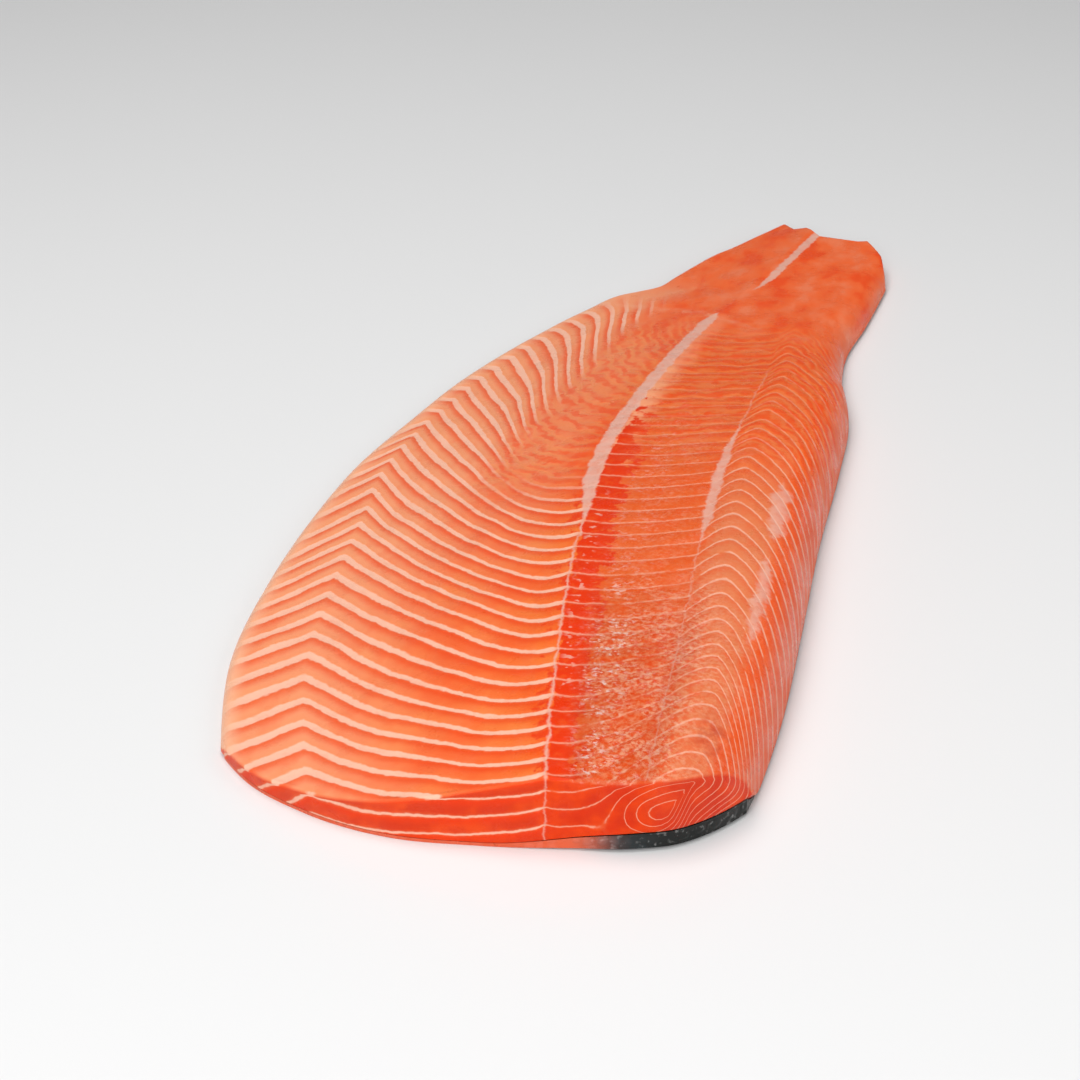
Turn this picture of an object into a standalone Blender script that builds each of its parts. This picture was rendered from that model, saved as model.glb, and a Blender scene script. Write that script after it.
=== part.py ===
"""A raw salmon fillet, skin side down: the flesh with its muscle relief, and the thin skin under it.

Metres, +Z up, +Y from the head cut to the tail, +X from the belly edge to the thick back edge.
The origin is the middle of the underside.
"""

import bpy
import bmesh
import numpy as np

MM = 0.001

# Outline of the flesh in plan, in mm: (place along the fish, place across it)
BELLY_EDGE = (
    (-300, -40), (-240, -71), (-189, -91), (-133, -101), (-85, -105), (-32, -105), (8, -100),
    (51, -93), (99, -79), (135, -65), (155, -55), (168, -42), (185, -36), (211, -27), (240, -14), (265, -3),
)
BACK_EDGE = (
    (-300, 106), (-229, 106), (-167, 103), (-101, 95), (-42, 87), (26, 80), (63, 75), (99, 64),
    (130, 59), (164, 60), (200, 60), (265, 58),
)
MIDLINE = (
    (-300, 62), (-250, 47), (-200, 33), (-160, 23), (-111, 12), (-70, 5), (-25, -1), (33, -3),
    (101, -1), (150, 3), (200, 8), (265, 16),
)

# The head cut and the tail end in plan, in mm: (place across the fish, place along it)
HEAD_CUT = (
    (-130, -150), (-90, -212), (-75, -235), (-60, -249), (-33, -261), (0, -265), (28, -260),
    (56, -253), (77, -247), (90, -239), (100, -226), (118, -185),
)
TAIL_END = (
    (-60, 268), (-4, 265), (5, 253), (11, 254), (20, 243), (39, 242), (43, 244), (53, 229), (60, 208), (80, 170),
)

# Heights of the upper face over the table, in mm: (place along the fish, height)
BELLY_RIM_HEIGHT = ((-300, 5.4), (-100, 5.4), (0, 5.0), (100, 5.4), (200, 6.4), (265, 6.4))
MIDLINE_HEIGHT = ((-300, 27), (-250, 27.5), (-150, 29), (-50, 26), (30, 22), (100, 17), (160, 13), (265, 10))
LOIN_HEIGHT = (
    (-300, 25), (-256, 26), (-235, 29), (-200, 32), (-150, 33), (-50, 31), (30, 26), (100, 19), (160, 14), (265, 10),
)
FLANK_WIDTH = ((-300, 40), (-256, 36), (-220, 30), (-180, 24), (-100, 22), (0, 20), (100, 18), (265, 14))

# Form of the section
BELLY_BULGE = 1.35
BELLY_RIM_RADIUS = 4.0 * MM
RIM_STEP = 0.35
LOIN_BULGE = 1.5
FLANK_ROUND = 2.6
EDGE_THICKNESS = 1.4 * MM

# Muscle segments
PITCH_AT_MIDLINE = 9.3 * MM
RELIEF_DEPTH = 0.7 * MM
RELIEF_FADE_START = 0.040
RELIEF_FADE_END = 0.110
# How far the line of a segment rises toward the tail, in mm: (where it meets the midline, rise)
BELLY_RISE = (
    (-300, 0), (-250, 12), (-225, 30), (-209, 48), (-192, 56), (-152, 69), (-122, 77), (-100, 92),
    (-58, 110), (-30, 118), (0, 120), (60, 92), (120, 58), (200, 20), (290, 0),
)
BELLY_APEX = ((-300, 0.60), (-225, 0.68), (-200, 0.74), (-152, 0.79), (-122, 0.83), (-100, 0.93), (-80, 1.05), (290, 1.05))
BACK_RISE = ((-300, 26), (-245, 24), (-200, 14), (-160, 9), (0, 8), (60, 8), (290, 0))
ARCH_RISE = ((-300, 17), (60, 17), (290, 0))
FLANK_FALL = ((-300, 46), (60, 46), (290, 0))
BELLY_FLAT = 0.08
BELLY_FULL = 0.80
BELLY_POWER = 1.3
BELLY_FALL_SLOPE = 2.0
FLANK_POWER = 1.3
RELIEF_EDGE_FADE = 0.06
SECOND_LINE = 0.54
ARCH_APEX = 0.70

# Rows and columns of the surface
STRAIGHT_ROWS = (-0.350, 0.290)
FIRST_SEGMENT = -0.262
LAST_SEGMENT = 0.060
TAIL_ROWS = 12
LAST_TAIL_ROW = 0.272
TOP_BELLY = (1.0, 0.988, 0.965, 0.92, 0.86, 0.80, 0.74, 0.66, 0.56, 0.46, 0.36, 0.26, 0.16, 0.08, 0.0)
TOP_BACK = (0.14, 0.28, 0.42, 0.54, 0.62, 0.70, 0.77, 0.84, 0.90, 0.945, 0.975, 0.992, 1.0)
UNDER_BACK = (1.0, 0.66, 0.33)
UNDER_BELLY = (0.0, 0.5, 1.0)
LOFT_BOTTOM = -0.004

# The skin, and its edge that turns up at the thick corner of the head cut
SKIN_THICKNESS = 1.2 * MM
SKIN_GAP = 0.4 * MM
SKIN_SETBACK = 1.2 * MM
SKIN_CUT_SETBACK = 0.2 * MM
PLACE_STEPS = 40
SKIN_ROLL = 0.75
SKIN_ROWS = 46
SKIN_COLUMNS = 20
SKIN_ROW_CROWDING = 1.7
CURL_HEIGHT = 6.0 * MM
CURL_RUN = 15.0 * MM
CURL_LIMIT = 1.8
CURL_START = 0.028
CURL_FULL = 0.078

# Cutters
CUTTER_SIDE = 0.140
CUTTER_DEPTH = 0.080
CUTTER_BOTTOM = -0.010
CUTTER_TOP = 0.060
HEAD_CUT_STEPS = 30
BED_MARGIN = 0.040
BED_BOTTOM = -0.020


def smooth_curve(pairs, unit_in=MM, unit_out=MM):
    """Returns a smooth function through the (place, value) pairs."""
    place = np.array([pair[0] for pair in pairs], float) * unit_in
    value = np.array([pair[1] for pair in pairs], float) * unit_out
    step = np.diff(place)
    secant = np.diff(value) / step
    tangent = np.empty_like(value)
    tangent[0] = secant[0]
    tangent[-1] = secant[-1]
    tangent[1:-1] = (secant[:-1] * step[1:] + secant[1:] * step[:-1]) / (step[:-1] + step[1:])

    def at(where):
        where = np.clip(np.asarray(where, float), place[0], place[-1])
        i = np.clip(np.searchsorted(place, where) - 1, 0, len(place) - 2)
        s = (where - place[i]) / step[i]
        return (
            (1 + 2 * s) * (1 - s) ** 2 * value[i]
            + s * (1 - s) ** 2 * step[i] * tangent[i]
            + s**2 * (3 - 2 * s) * value[i + 1]
            - s**2 * (1 - s) * step[i] * tangent[i + 1]
        )

    return at


def straight_curve(pairs, unit_out=MM):
    """Returns a function that runs straight from pair to pair."""
    place = np.array([pair[0] for pair in pairs], float) * MM
    value = np.array([pair[1] for pair in pairs], float) * unit_out
    return lambda where: np.interp(where, place, value)


def smooth_step(value, start, end):
    """Rises smoothly from 0 at start to 1 at end."""
    s = np.clip((value - start) / (end - start), 0.0, 1.0)
    return s * s * (3.0 - 2.0 * s)


belly_edge = smooth_curve(BELLY_EDGE)
back_edge = smooth_curve(BACK_EDGE)
midline = smooth_curve(MIDLINE)
head_cut = smooth_curve(HEAD_CUT)
tail_end = straight_curve(TAIL_END)
belly_rim_height = smooth_curve(BELLY_RIM_HEIGHT)
midline_height = smooth_curve(MIDLINE_HEIGHT)
loin_height = smooth_curve(LOIN_HEIGHT)
flank_width = smooth_curve(FLANK_WIDTH)
belly_rise = smooth_curve(BELLY_RISE)
belly_apex = straight_curve(BELLY_APEX, 1.0)
back_rise = straight_curve(BACK_RISE)
arch_rise = straight_curve(ARCH_RISE)
flank_fall = straight_curve(FLANK_FALL)


def curl(x, y):
    """How far the underside is lifted where the skin turns up at the thick corner."""
    behind_cut = y - head_cut(x)
    near_cut = np.clip(1.0 - behind_cut / CURL_RUN, 0.0, CURL_LIMIT) ** 2
    return CURL_HEIGHT * near_cut * smooth_step(x, CURL_START, CURL_FULL)


def underside(x, y):
    """Height of the underside of the flesh."""
    return curl(x, y) + SKIN_THICKNESS + SKIN_GAP


def upper_face(x, y):
    """Height of the upper face of the flesh, without the muscle relief."""
    left, right, middle = belly_edge(y), back_edge(y), midline(y)
    rim, ridge, loin = belly_rim_height(y), midline_height(y), loin_height(y)
    to_edge = np.clip((middle - x) / (middle - left), 0.0, 1.0)
    belly = rim + (ridge - rim) * (1.0 - to_edge) ** BELLY_BULGE
    at_rim = np.clip((x - left) / BELLY_RIM_RADIUS, 0.0, 1.0)
    belly = belly * (RIM_STEP + (1.0 - RIM_STEP) * np.sqrt(1.0 - (1.0 - at_rim) ** 2))
    flank = flank_width(y)
    to_loin = np.clip((x - middle) / (right - flank - middle), 0.0, 1.0)
    back = ridge + (loin - ridge) * np.sin(to_loin * np.pi / 2) ** LOIN_BULGE
    down = np.clip((x - right + flank) / flank, 0.0, 1.0)
    back = np.where(down > 0.0, loin * (1.0 - down**FLANK_ROUND) ** (1.0 / FLANK_ROUND), back)
    height = np.where(x < middle, belly, back)
    return np.maximum(height, underside(x, y) + EDGE_THICKNESS)


def line_rise(start, side):
    """How far toward the tail a segment's line has risen at a place across the fish.

    start is where the line meets the midline; side is -1 at the belly edge, 0 at the midline
    and 1 at the back edge.
    """
    if side <= 0.0:
        apex = belly_apex(start)
        width = midline(start) - belly_edge(start)
        out = np.minimum(-side, apex)
        ramp = np.maximum(out - BELLY_FLAT, 0.0) / (BELLY_FULL - BELLY_FLAT)
        fall = BELLY_FALL_SLOPE * width * np.maximum(-side - apex, 0.0)
        return belly_rise(start) * ramp**BELLY_POWER - fall
    if side <= SECOND_LINE:
        return back_rise(start) * (side / SECOND_LINE) ** 2
    if side <= ARCH_APEX:
        part = (side - SECOND_LINE) / (ARCH_APEX - SECOND_LINE)
        return back_rise(start) + arch_rise(start) * np.sin(part * np.pi / 2)
    part = (side - ARCH_APEX) / (1.0 - ARCH_APEX)
    return back_rise(start) + arch_rise(start) - flank_fall(start) * part**FLANK_POWER


def place_on_row(start, side, straight):
    """The plan position of a place across the fish on the row that meets the midline at start."""
    y = start if straight else start + line_rise(start, side)
    edge = belly_edge(y) if side < 0.0 else back_edge(y)
    return float(midline(y) + abs(side) * (edge - midline(y))), float(y)


def relief(start, side, on_line):
    """How far the upper face is sunk on the line between two segments."""
    if not on_line:
        return 0.0
    fade_at_edges = smooth_step(1.0 - abs(side), 0.0, RELIEF_EDGE_FADE)
    fade_to_tail = 1.0 - smooth_step(start, RELIEF_FADE_START, RELIEF_FADE_END)
    return RELIEF_DEPTH * float(fade_at_edges * fade_to_tail)


def flesh_rows():
    """Lists each row as (where it meets the midline, whether it lies on a line, whether it is straight)."""
    rows = [(STRAIGHT_ROWS[0], False, True)]
    halves = int(round((LAST_SEGMENT - FIRST_SEGMENT) / (PITCH_AT_MIDLINE / 2)))
    for i in range(halves + 1):
        rows.append((FIRST_SEGMENT + i * PITCH_AT_MIDLINE / 2, i % 2 == 0, False))
    last = rows[-1][0]
    for i in range(1, TAIL_ROWS + 1):
        rows.append((last + (LAST_TAIL_ROW - last) * i / TAIL_ROWS, False, False))
    rows.append((STRAIGHT_ROWS[1], False, True))
    return rows


def section(start, on_line, straight):
    """The closed loop of one row: over the top from belly to back, then under and back again."""
    top = [-part for part in TOP_BELLY] + list(TOP_BACK)
    under = list(UNDER_BACK) + [-part for part in UNDER_BELLY]
    loop = []
    for side in top:
        x, y = place_on_row(start, side, straight)
        loop.append((x, y, float(upper_face(x, y)) - relief(start, side, on_line)))
    for side in under:
        x, y = place_on_row(start, side, straight)
        loop.append((x, y, LOFT_BOTTOM))
    return loop


def object_from(name, bm):
    """Makes a mesh object of the bmesh, its faces turned outward."""
    bmesh.ops.recalc_face_normals(bm, faces=bm.faces)
    mesh = bpy.data.meshes.new(name)
    bm.to_mesh(mesh)
    bm.free()
    made = bpy.data.objects.new(name, mesh)
    bpy.context.scene.collection.objects.link(made)
    return made


def material(name, colour, roughness):
    """A plain Principled material."""
    made = bpy.data.materials.new(name)
    made.use_nodes = True
    shader = made.node_tree.nodes["Principled BSDF"]
    shader.inputs["Base Color"].default_value = (*colour, 1.0)
    shader.inputs["Roughness"].default_value = roughness
    shader.inputs["Metallic"].default_value = 0.0
    return made


def upright_prism(name, plan, bottom, top):
    """A prism over a closed plan, for cutting."""
    bm = bmesh.new()
    base = bm.faces.new([bm.verts.new((x, y, bottom)) for x, y in plan])
    raised = bmesh.ops.extrude_face_region(bm, geom=[base])
    moved = [item for item in raised["geom"] if isinstance(item, bmesh.types.BMVert)]
    bmesh.ops.translate(bm, verts=moved, vec=(0.0, 0.0, top - bottom))
    return object_from(name, bm)


def cut(target, cutter, name):
    """Cuts the cutter's shape from the target and applies it."""
    cutter.hide_render = True
    cutter.display_type = "WIRE"
    modifier = target.modifiers.new(name, "BOOLEAN")
    modifier.operation = "DIFFERENCE"
    # The EXACT solver loses this long loft, so the cuts use MANIFOLD.
    modifier.solver = "MANIFOLD"
    modifier.object = cutter
    bpy.ops.object.select_all(action="DESELECT")
    bpy.context.view_layer.objects.active = target
    target.select_set(True)
    bpy.ops.object.modifier_apply(modifier=modifier.name)
    bpy.data.objects.remove(cutter, do_unlink=True)


def build_flesh():
    """Lofts the flesh along the muscle lines, then cuts the tail end and the head end."""
    bm = bmesh.new()
    rings = [[bm.verts.new(point) for point in section(*row)] for row in flesh_rows()]
    for first, second in zip(rings, rings[1:]):
        for j in range(len(first)):
            k = (j + 1) % len(first)
            bm.faces.new((first[j], first[k], second[k], second[j]))
    bm.faces.new(rings[0][::-1])
    bm.faces.new(rings[-1])
    bmesh.ops.triangulate(bm, faces=bm.faces)
    flesh = object_from("flesh", bm)

    corners = [pair[0] * MM for pair in TAIL_END]
    plan = [(x, float(tail_end(x))) for x in corners]
    plan = [(-CUTTER_SIDE, plan[0][1])] + plan + [(CUTTER_SIDE, plan[-1][1])]
    plan += [(CUTTER_SIDE, STRAIGHT_ROWS[1] + CUTTER_DEPTH), (-CUTTER_SIDE, STRAIGHT_ROWS[1] + CUTTER_DEPTH)]
    cut(flesh, upright_prism("tail_cutter", plan, CUTTER_BOTTOM, CUTTER_TOP), "Tail cut")

    across = np.linspace(-CUTTER_SIDE, CUTTER_SIDE, HEAD_CUT_STEPS)
    plan = [(float(x), float(head_cut(x))) for x in across]
    plan += [(CUTTER_SIDE, STRAIGHT_ROWS[0] - CUTTER_DEPTH), (-CUTTER_SIDE, STRAIGHT_ROWS[0] - CUTTER_DEPTH)]
    cut(flesh, upright_prism("head_cutter", plan, CUTTER_BOTTOM, CUTTER_TOP), "Head cut")
    cut(flesh, bed_cutter(), "Bed cut")
    flesh.data.materials.append(material("salmon_flesh", (0.80, 0.17, 0.05), 0.35))
    return flesh


def skin_place(along, across):
    """The plan position in the skin of the shares along and across it."""
    x = y = 0.0
    for _ in range(PLACE_STEPS):
        left = belly_edge(y) + SKIN_SETBACK
        right = back_edge(y) - SKIN_SETBACK
        x = left + (right - left) * across
        near = head_cut(x) + SKIN_CUT_SETBACK
        far = tail_end(x) - SKIN_SETBACK
        y = near + (far - near) * along
    return float(x), float(y)


def bed_cutter():
    """A slab whose upper face is the underside of the flesh, on the same places as the skin."""
    bm = bmesh.new()
    upper, lower = [], []
    for i in range(-1, SKIN_ROWS + 2):
        along = (min(max(i, 0), SKIN_ROWS) / SKIN_ROWS) ** SKIN_ROW_CROWDING
        out_y = -BED_MARGIN if i < 0 else BED_MARGIN if i > SKIN_ROWS else 0.0
        row = []
        for j in range(-1, SKIN_COLUMNS + 2):
            out_x = -BED_MARGIN if j < 0 else BED_MARGIN if j > SKIN_COLUMNS else 0.0
            x, y = skin_place(along, min(max(j, 0), SKIN_COLUMNS) / SKIN_COLUMNS)
            row.append((x + out_x, y + out_y, float(underside(x, y))))
        upper.append([bm.verts.new(point) for point in row])
        lower.append([bm.verts.new((x, y, BED_BOTTOM)) for x, y, z in row])
    close_sheets(bm, lower, upper)
    return object_from("bed_cutter", bm)


def close_sheets(bm, lower, upper):
    """Faces two grids of points and the walls between their borders."""
    rows, columns = len(lower) - 1, len(lower[0]) - 1
    for sheet in (lower, upper):
        for first, second in zip(sheet, sheet[1:]):
            for j in range(columns):
                bm.faces.new((first[j], first[j + 1], second[j + 1]))
                bm.faces.new((first[j], second[j + 1], second[j]))
    for row in (0, rows):
        for j in range(columns):
            bm.faces.new((lower[row][j], lower[row][j + 1], upper[row][j + 1], upper[row][j]))
    for column in (0, columns):
        for i in range(rows):
            bm.faces.new((lower[i][column], lower[i + 1][column], upper[i + 1][column], upper[i][column]))


def build_skin():
    """A thin sheet under the flesh, turned up at the thick corner of the head cut, its edge rolled under there."""
    bm = bmesh.new()
    under, over = [], []
    for i in range(SKIN_ROWS + 1):
        along = (i / SKIN_ROWS) ** SKIN_ROW_CROWDING
        places = [skin_place(along, j / SKIN_COLUMNS) for j in range(SKIN_COLUMNS + 1)]
        under.append([bm.verts.new((x, y, float(curl(x, y)) * (1.0 - SKIN_ROLL))) for x, y in places])
        over.append([bm.verts.new((x, y, float(curl(x, y)) + SKIN_THICKNESS)) for x, y in places])
    close_sheets(bm, under, over)
    skin = object_from("skin", bm)
    skin.data.materials.append(material("salmon_skin", (0.10, 0.12, 0.12), 0.4))
    return skin


def main():
    """Clears the scene and builds the two pieces."""
    for item in list(bpy.data.objects):
        bpy.data.objects.remove(item, do_unlink=True)
    build_flesh()
    build_skin()


if __name__ == "__main__":
    main()
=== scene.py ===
"""A raw side of salmon lying skin side down: the looks of its flesh and its skin.

Metres, +Z up, +Y from the head cut to the tail, +X from the belly edge to the thick back edge.
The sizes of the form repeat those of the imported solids, which both pieces stand in for.
"""

from __future__ import annotations

import logging
import math
from dataclasses import dataclass, field
from enum import Enum

import bpy
import numpy as np
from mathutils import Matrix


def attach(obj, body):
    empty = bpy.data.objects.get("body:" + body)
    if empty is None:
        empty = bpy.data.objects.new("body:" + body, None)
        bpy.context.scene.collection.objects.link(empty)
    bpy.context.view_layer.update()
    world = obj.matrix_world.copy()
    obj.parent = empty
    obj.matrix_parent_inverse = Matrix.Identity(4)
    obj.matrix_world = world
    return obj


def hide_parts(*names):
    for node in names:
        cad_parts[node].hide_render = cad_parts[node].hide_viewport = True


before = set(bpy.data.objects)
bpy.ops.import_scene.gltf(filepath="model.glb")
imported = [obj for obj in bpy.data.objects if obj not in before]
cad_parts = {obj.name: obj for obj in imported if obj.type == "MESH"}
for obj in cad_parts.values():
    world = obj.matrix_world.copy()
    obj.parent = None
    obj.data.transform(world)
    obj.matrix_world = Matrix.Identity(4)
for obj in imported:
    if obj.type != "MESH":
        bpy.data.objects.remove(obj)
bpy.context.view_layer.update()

MM = 0.001

log = logging.getLogger("salmon")

Array = np.ndarray
Pairs = tuple[tuple[float, float], ...]
Colour = tuple[float, float, float]


class Run(Enum):
    """How a curve runs between its named points."""

    SMOOTH = "smooth"
    STRAIGHT = "straight"


@dataclass(frozen=True)
class Curve:
    """A function through (place, value) pairs, the places in millimetres."""

    pairs: Pairs
    unit: float = MM
    run: Run = Run.SMOOTH

    def at(self, where: Array) -> Array:
        """Gives the curve's value.

        Args:
            where: places along the curve, in metres.

        Returns:
            The value at each place, in the unit of the curve times metres.
        """
        place = np.array([pair[0] for pair in self.pairs], float) * MM
        value = np.array([pair[1] for pair in self.pairs], float) * self.unit
        where = np.clip(np.asarray(where, float), place[0], place[-1])
        if self.run is Run.STRAIGHT:
            return np.interp(where, place, value)
        step = np.diff(place)
        secant = np.diff(value) / step
        tangent = np.empty_like(value)
        tangent[0] = secant[0]
        tangent[-1] = secant[-1]
        tangent[1:-1] = (secant[:-1] * step[1:] + secant[1:] * step[:-1]) / (step[:-1] + step[1:])
        i = np.clip(np.searchsorted(place, where) - 1, 0, len(place) - 2)
        s = (where - place[i]) / step[i]
        return (
            (1 + 2 * s) * (1 - s) ** 2 * value[i]
            + s * (1 - s) ** 2 * step[i] * tangent[i]
            + s**2 * (3 - 2 * s) * value[i + 1]
            - s**2 * (1 - s) * step[i] * tangent[i + 1]
        )


def smooth_step(value: Array, start: float, end: float) -> Array:
    """Rises smoothly from 0 at start to 1 at end.

    Args:
        value: the numbers to map.
        start: where the rise starts.
        end: where the rise ends.

    Returns:
        The share of the rise at each value.
    """
    s = np.clip((value - start) / (end - start), 0.0, 1.0)
    return s * s * (3.0 - 2.0 * s)


@dataclass(frozen=True)
class FilletForm:
    """The outline and the heights of the fillet, the same as those of its solids."""

    belly_edge: Curve = Curve((
        (-300, -40), (-240, -71), (-189, -91), (-133, -101), (-85, -105), (-32, -105), (8, -100),
        (51, -93), (99, -79), (135, -65), (155, -55), (168, -42), (185, -36), (211, -27), (240, -14),
        (265, -3),
    ))
    back_edge: Curve = Curve((
        (-300, 106), (-229, 106), (-167, 103), (-101, 95), (-42, 87), (26, 80), (63, 75), (99, 64),
        (130, 59), (164, 60), (200, 60), (265, 58),
    ))
    midline: Curve = Curve((
        (-300, 62), (-250, 47), (-200, 33), (-160, 23), (-111, 12), (-70, 5), (-25, -1), (33, -3),
        (101, -1), (150, 3), (200, 8), (265, 16),
    ))
    head_cut: Curve = Curve((
        (-130, -150), (-90, -212), (-75, -235), (-60, -249), (-33, -261), (0, -265), (28, -260),
        (56, -253), (77, -247), (90, -239), (100, -226), (118, -185),
    ))
    tail_end: Curve = Curve((
        (-60, 268), (-4, 265), (5, 253), (11, 254), (20, 243), (39, 242), (43, 244), (53, 229), (60, 208),
        (80, 170),
    ), run=Run.STRAIGHT)
    belly_rim_height: Curve = Curve(((-300, 5.4), (-100, 5.4), (0, 5.0), (100, 5.4), (200, 6.4), (265, 6.4)))
    midline_height: Curve = Curve((
        (-300, 27), (-250, 27.5), (-150, 29), (-50, 26), (30, 22), (100, 17), (160, 13), (265, 10),
    ))
    loin_height: Curve = Curve((
        (-300, 25), (-256, 26), (-235, 29), (-200, 32), (-150, 33), (-50, 31), (30, 26), (100, 19), (160, 14),
        (265, 10),
    ))
    flank_width: Curve = Curve((
        (-300, 40), (-256, 36), (-220, 30), (-180, 24), (-100, 22), (0, 20), (100, 18), (265, 14),
    ))
    belly_bulge: float = 1.35
    belly_rim_radius: float = 4.0 * MM
    rim_step: float = 0.35
    loin_bulge: float = 1.5
    flank_round: float = 2.6
    edge_thickness: float = 1.4 * MM
    skin_thickness: float = 1.2 * MM
    skin_gap: float = 0.4 * MM
    skin_setback: float = 1.2 * MM
    curl_height: float = 6.0 * MM
    curl_run: float = 15.0 * MM
    curl_start: float = 0.028
    curl_full: float = 0.078
    # Share of the curl that the skin's lower face does not follow: the dark wedge left under the lifted
    # corner is partly rolled skin and partly painted shadow.
    skin_roll_and_shadow_fill: float = 0.75
    place_steps: int = 40

    def curl(self, x: Array, y: Array) -> Array:
        """Gives how far the underside is lifted at the thick corner.

        Args:
            x: places across the fish.
            y: places along the fish.

        Returns:
            The lift in metres.
        """
        behind = np.maximum(y - self.head_cut.at(x), 0.0)
        near = np.maximum(1.0 - behind / self.curl_run, 0.0) ** 2
        return self.curl_height * near * smooth_step(x, self.curl_start, self.curl_full)

    def underside(self, x: Array, y: Array) -> Array:
        """Gives the height of the flesh's underside.

        Args:
            x: places across the fish.
            y: places along the fish.

        Returns:
            The height in metres.
        """
        return self.curl(x, y) + self.skin_thickness + self.skin_gap

    def upper_face(self, x: Array, y: Array) -> Array:
        """Gives the height of the flesh's upper face.

        Args:
            x: places across the fish.
            y: places along the fish.

        Returns:
            The height in metres, without the relief of the muscle lines.
        """
        left, right, middle = self.belly_edge.at(y), self.back_edge.at(y), self.midline.at(y)
        rim, ridge, loin = self.belly_rim_height.at(y), self.midline_height.at(y), self.loin_height.at(y)
        to_edge = np.clip((middle - x) / (middle - left), 0.0, 1.0)
        belly = rim + (ridge - rim) * (1.0 - to_edge) ** self.belly_bulge
        at_rim = np.clip((x - left) / self.belly_rim_radius, 0.0, 1.0)
        belly = belly * (self.rim_step + (1.0 - self.rim_step) * np.sqrt(1.0 - (1.0 - at_rim) ** 2))
        flank = self.flank_width.at(y)
        to_loin = np.clip((x - middle) / (right - flank - middle), 0.0, 1.0)
        back = ridge + (loin - ridge) * np.sin(to_loin * np.pi / 2) ** self.loin_bulge
        down = np.clip((x - right + flank) / flank, 0.0, 1.0)
        back = np.where(down > 0.0, loin * (1.0 - down**self.flank_round) ** (1.0 / self.flank_round), back)
        height = np.where(x < middle, belly, back)
        return np.maximum(height, self.underside(x, y) + self.edge_thickness)

    def side(self, x: Array, y: Array) -> Array:
        """Gives the share of the way from the midline to an edge.

        Args:
            x: places across the fish.
            y: places along the fish.

        Returns:
            -1 at the belly edge, 0 at the midline and 1 at the back edge.
        """
        middle = self.midline.at(y)
        to_belly = (x - middle) / (middle - self.belly_edge.at(y))
        to_back = (x - middle) / (self.back_edge.at(y) - middle)
        return np.clip(np.where(x < middle, to_belly, to_back), -1.0, 1.0)

    def place(self, along: Array, across: Array, setback: float) -> tuple[Array, Array]:
        """Finds plan places inside the outline.

        Args:
            along: shares of the way from the head cut to the tail end.
            across: shares of the way over the section, as the arc of a rounded edge.
            setback: how far inside the outline the places stay, in metres.

        Returns:
            The places across and along the fish.
        """
        x = np.zeros_like(along)
        y = -0.25 + 0.5 * along
        for _ in range(self.place_steps):
            left = self.belly_edge.at(y) + setback
            right = self.back_edge.at(y) - setback
            x = self._across(left, right, self.flank_width.at(y), across)
            near = self.head_cut.at(x) + setback * 0.2
            far = self.tail_end.at(x) - setback
            y = near + (far - near) * along
        return x, y

    def _across(self, left: Array, right: Array, flank: Array, across: Array) -> Array:
        """Spreads columns so that the rim and the flank get as many as their arcs need.

        Args:
            left: the belly edge.
            right: the back edge.
            flank: the width of the rounded flank.
            across: shares from 0 to 1.

        Returns:
            The places across the fish.
        """
        rim_share, flank_share = 0.05, 0.78
        rim = left + self.belly_rim_radius * (1.0 - np.cos(np.clip(across / rim_share, 0, 1) * np.pi / 2))
        flat = np.clip((across - rim_share) / (flank_share - rim_share), 0.0, 1.0)
        level = left + self.belly_rim_radius + (right - flank - left - self.belly_rim_radius) * flat
        turn = np.clip((across - flank_share) / (1.0 - flank_share), 0.0, 1.0) * np.pi / 2
        round_off = right - flank + flank * np.sin(turn) ** (2.0 / self.flank_round)
        return np.where(across < rim_share, rim, np.where(across < flank_share, level, round_off))


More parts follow.
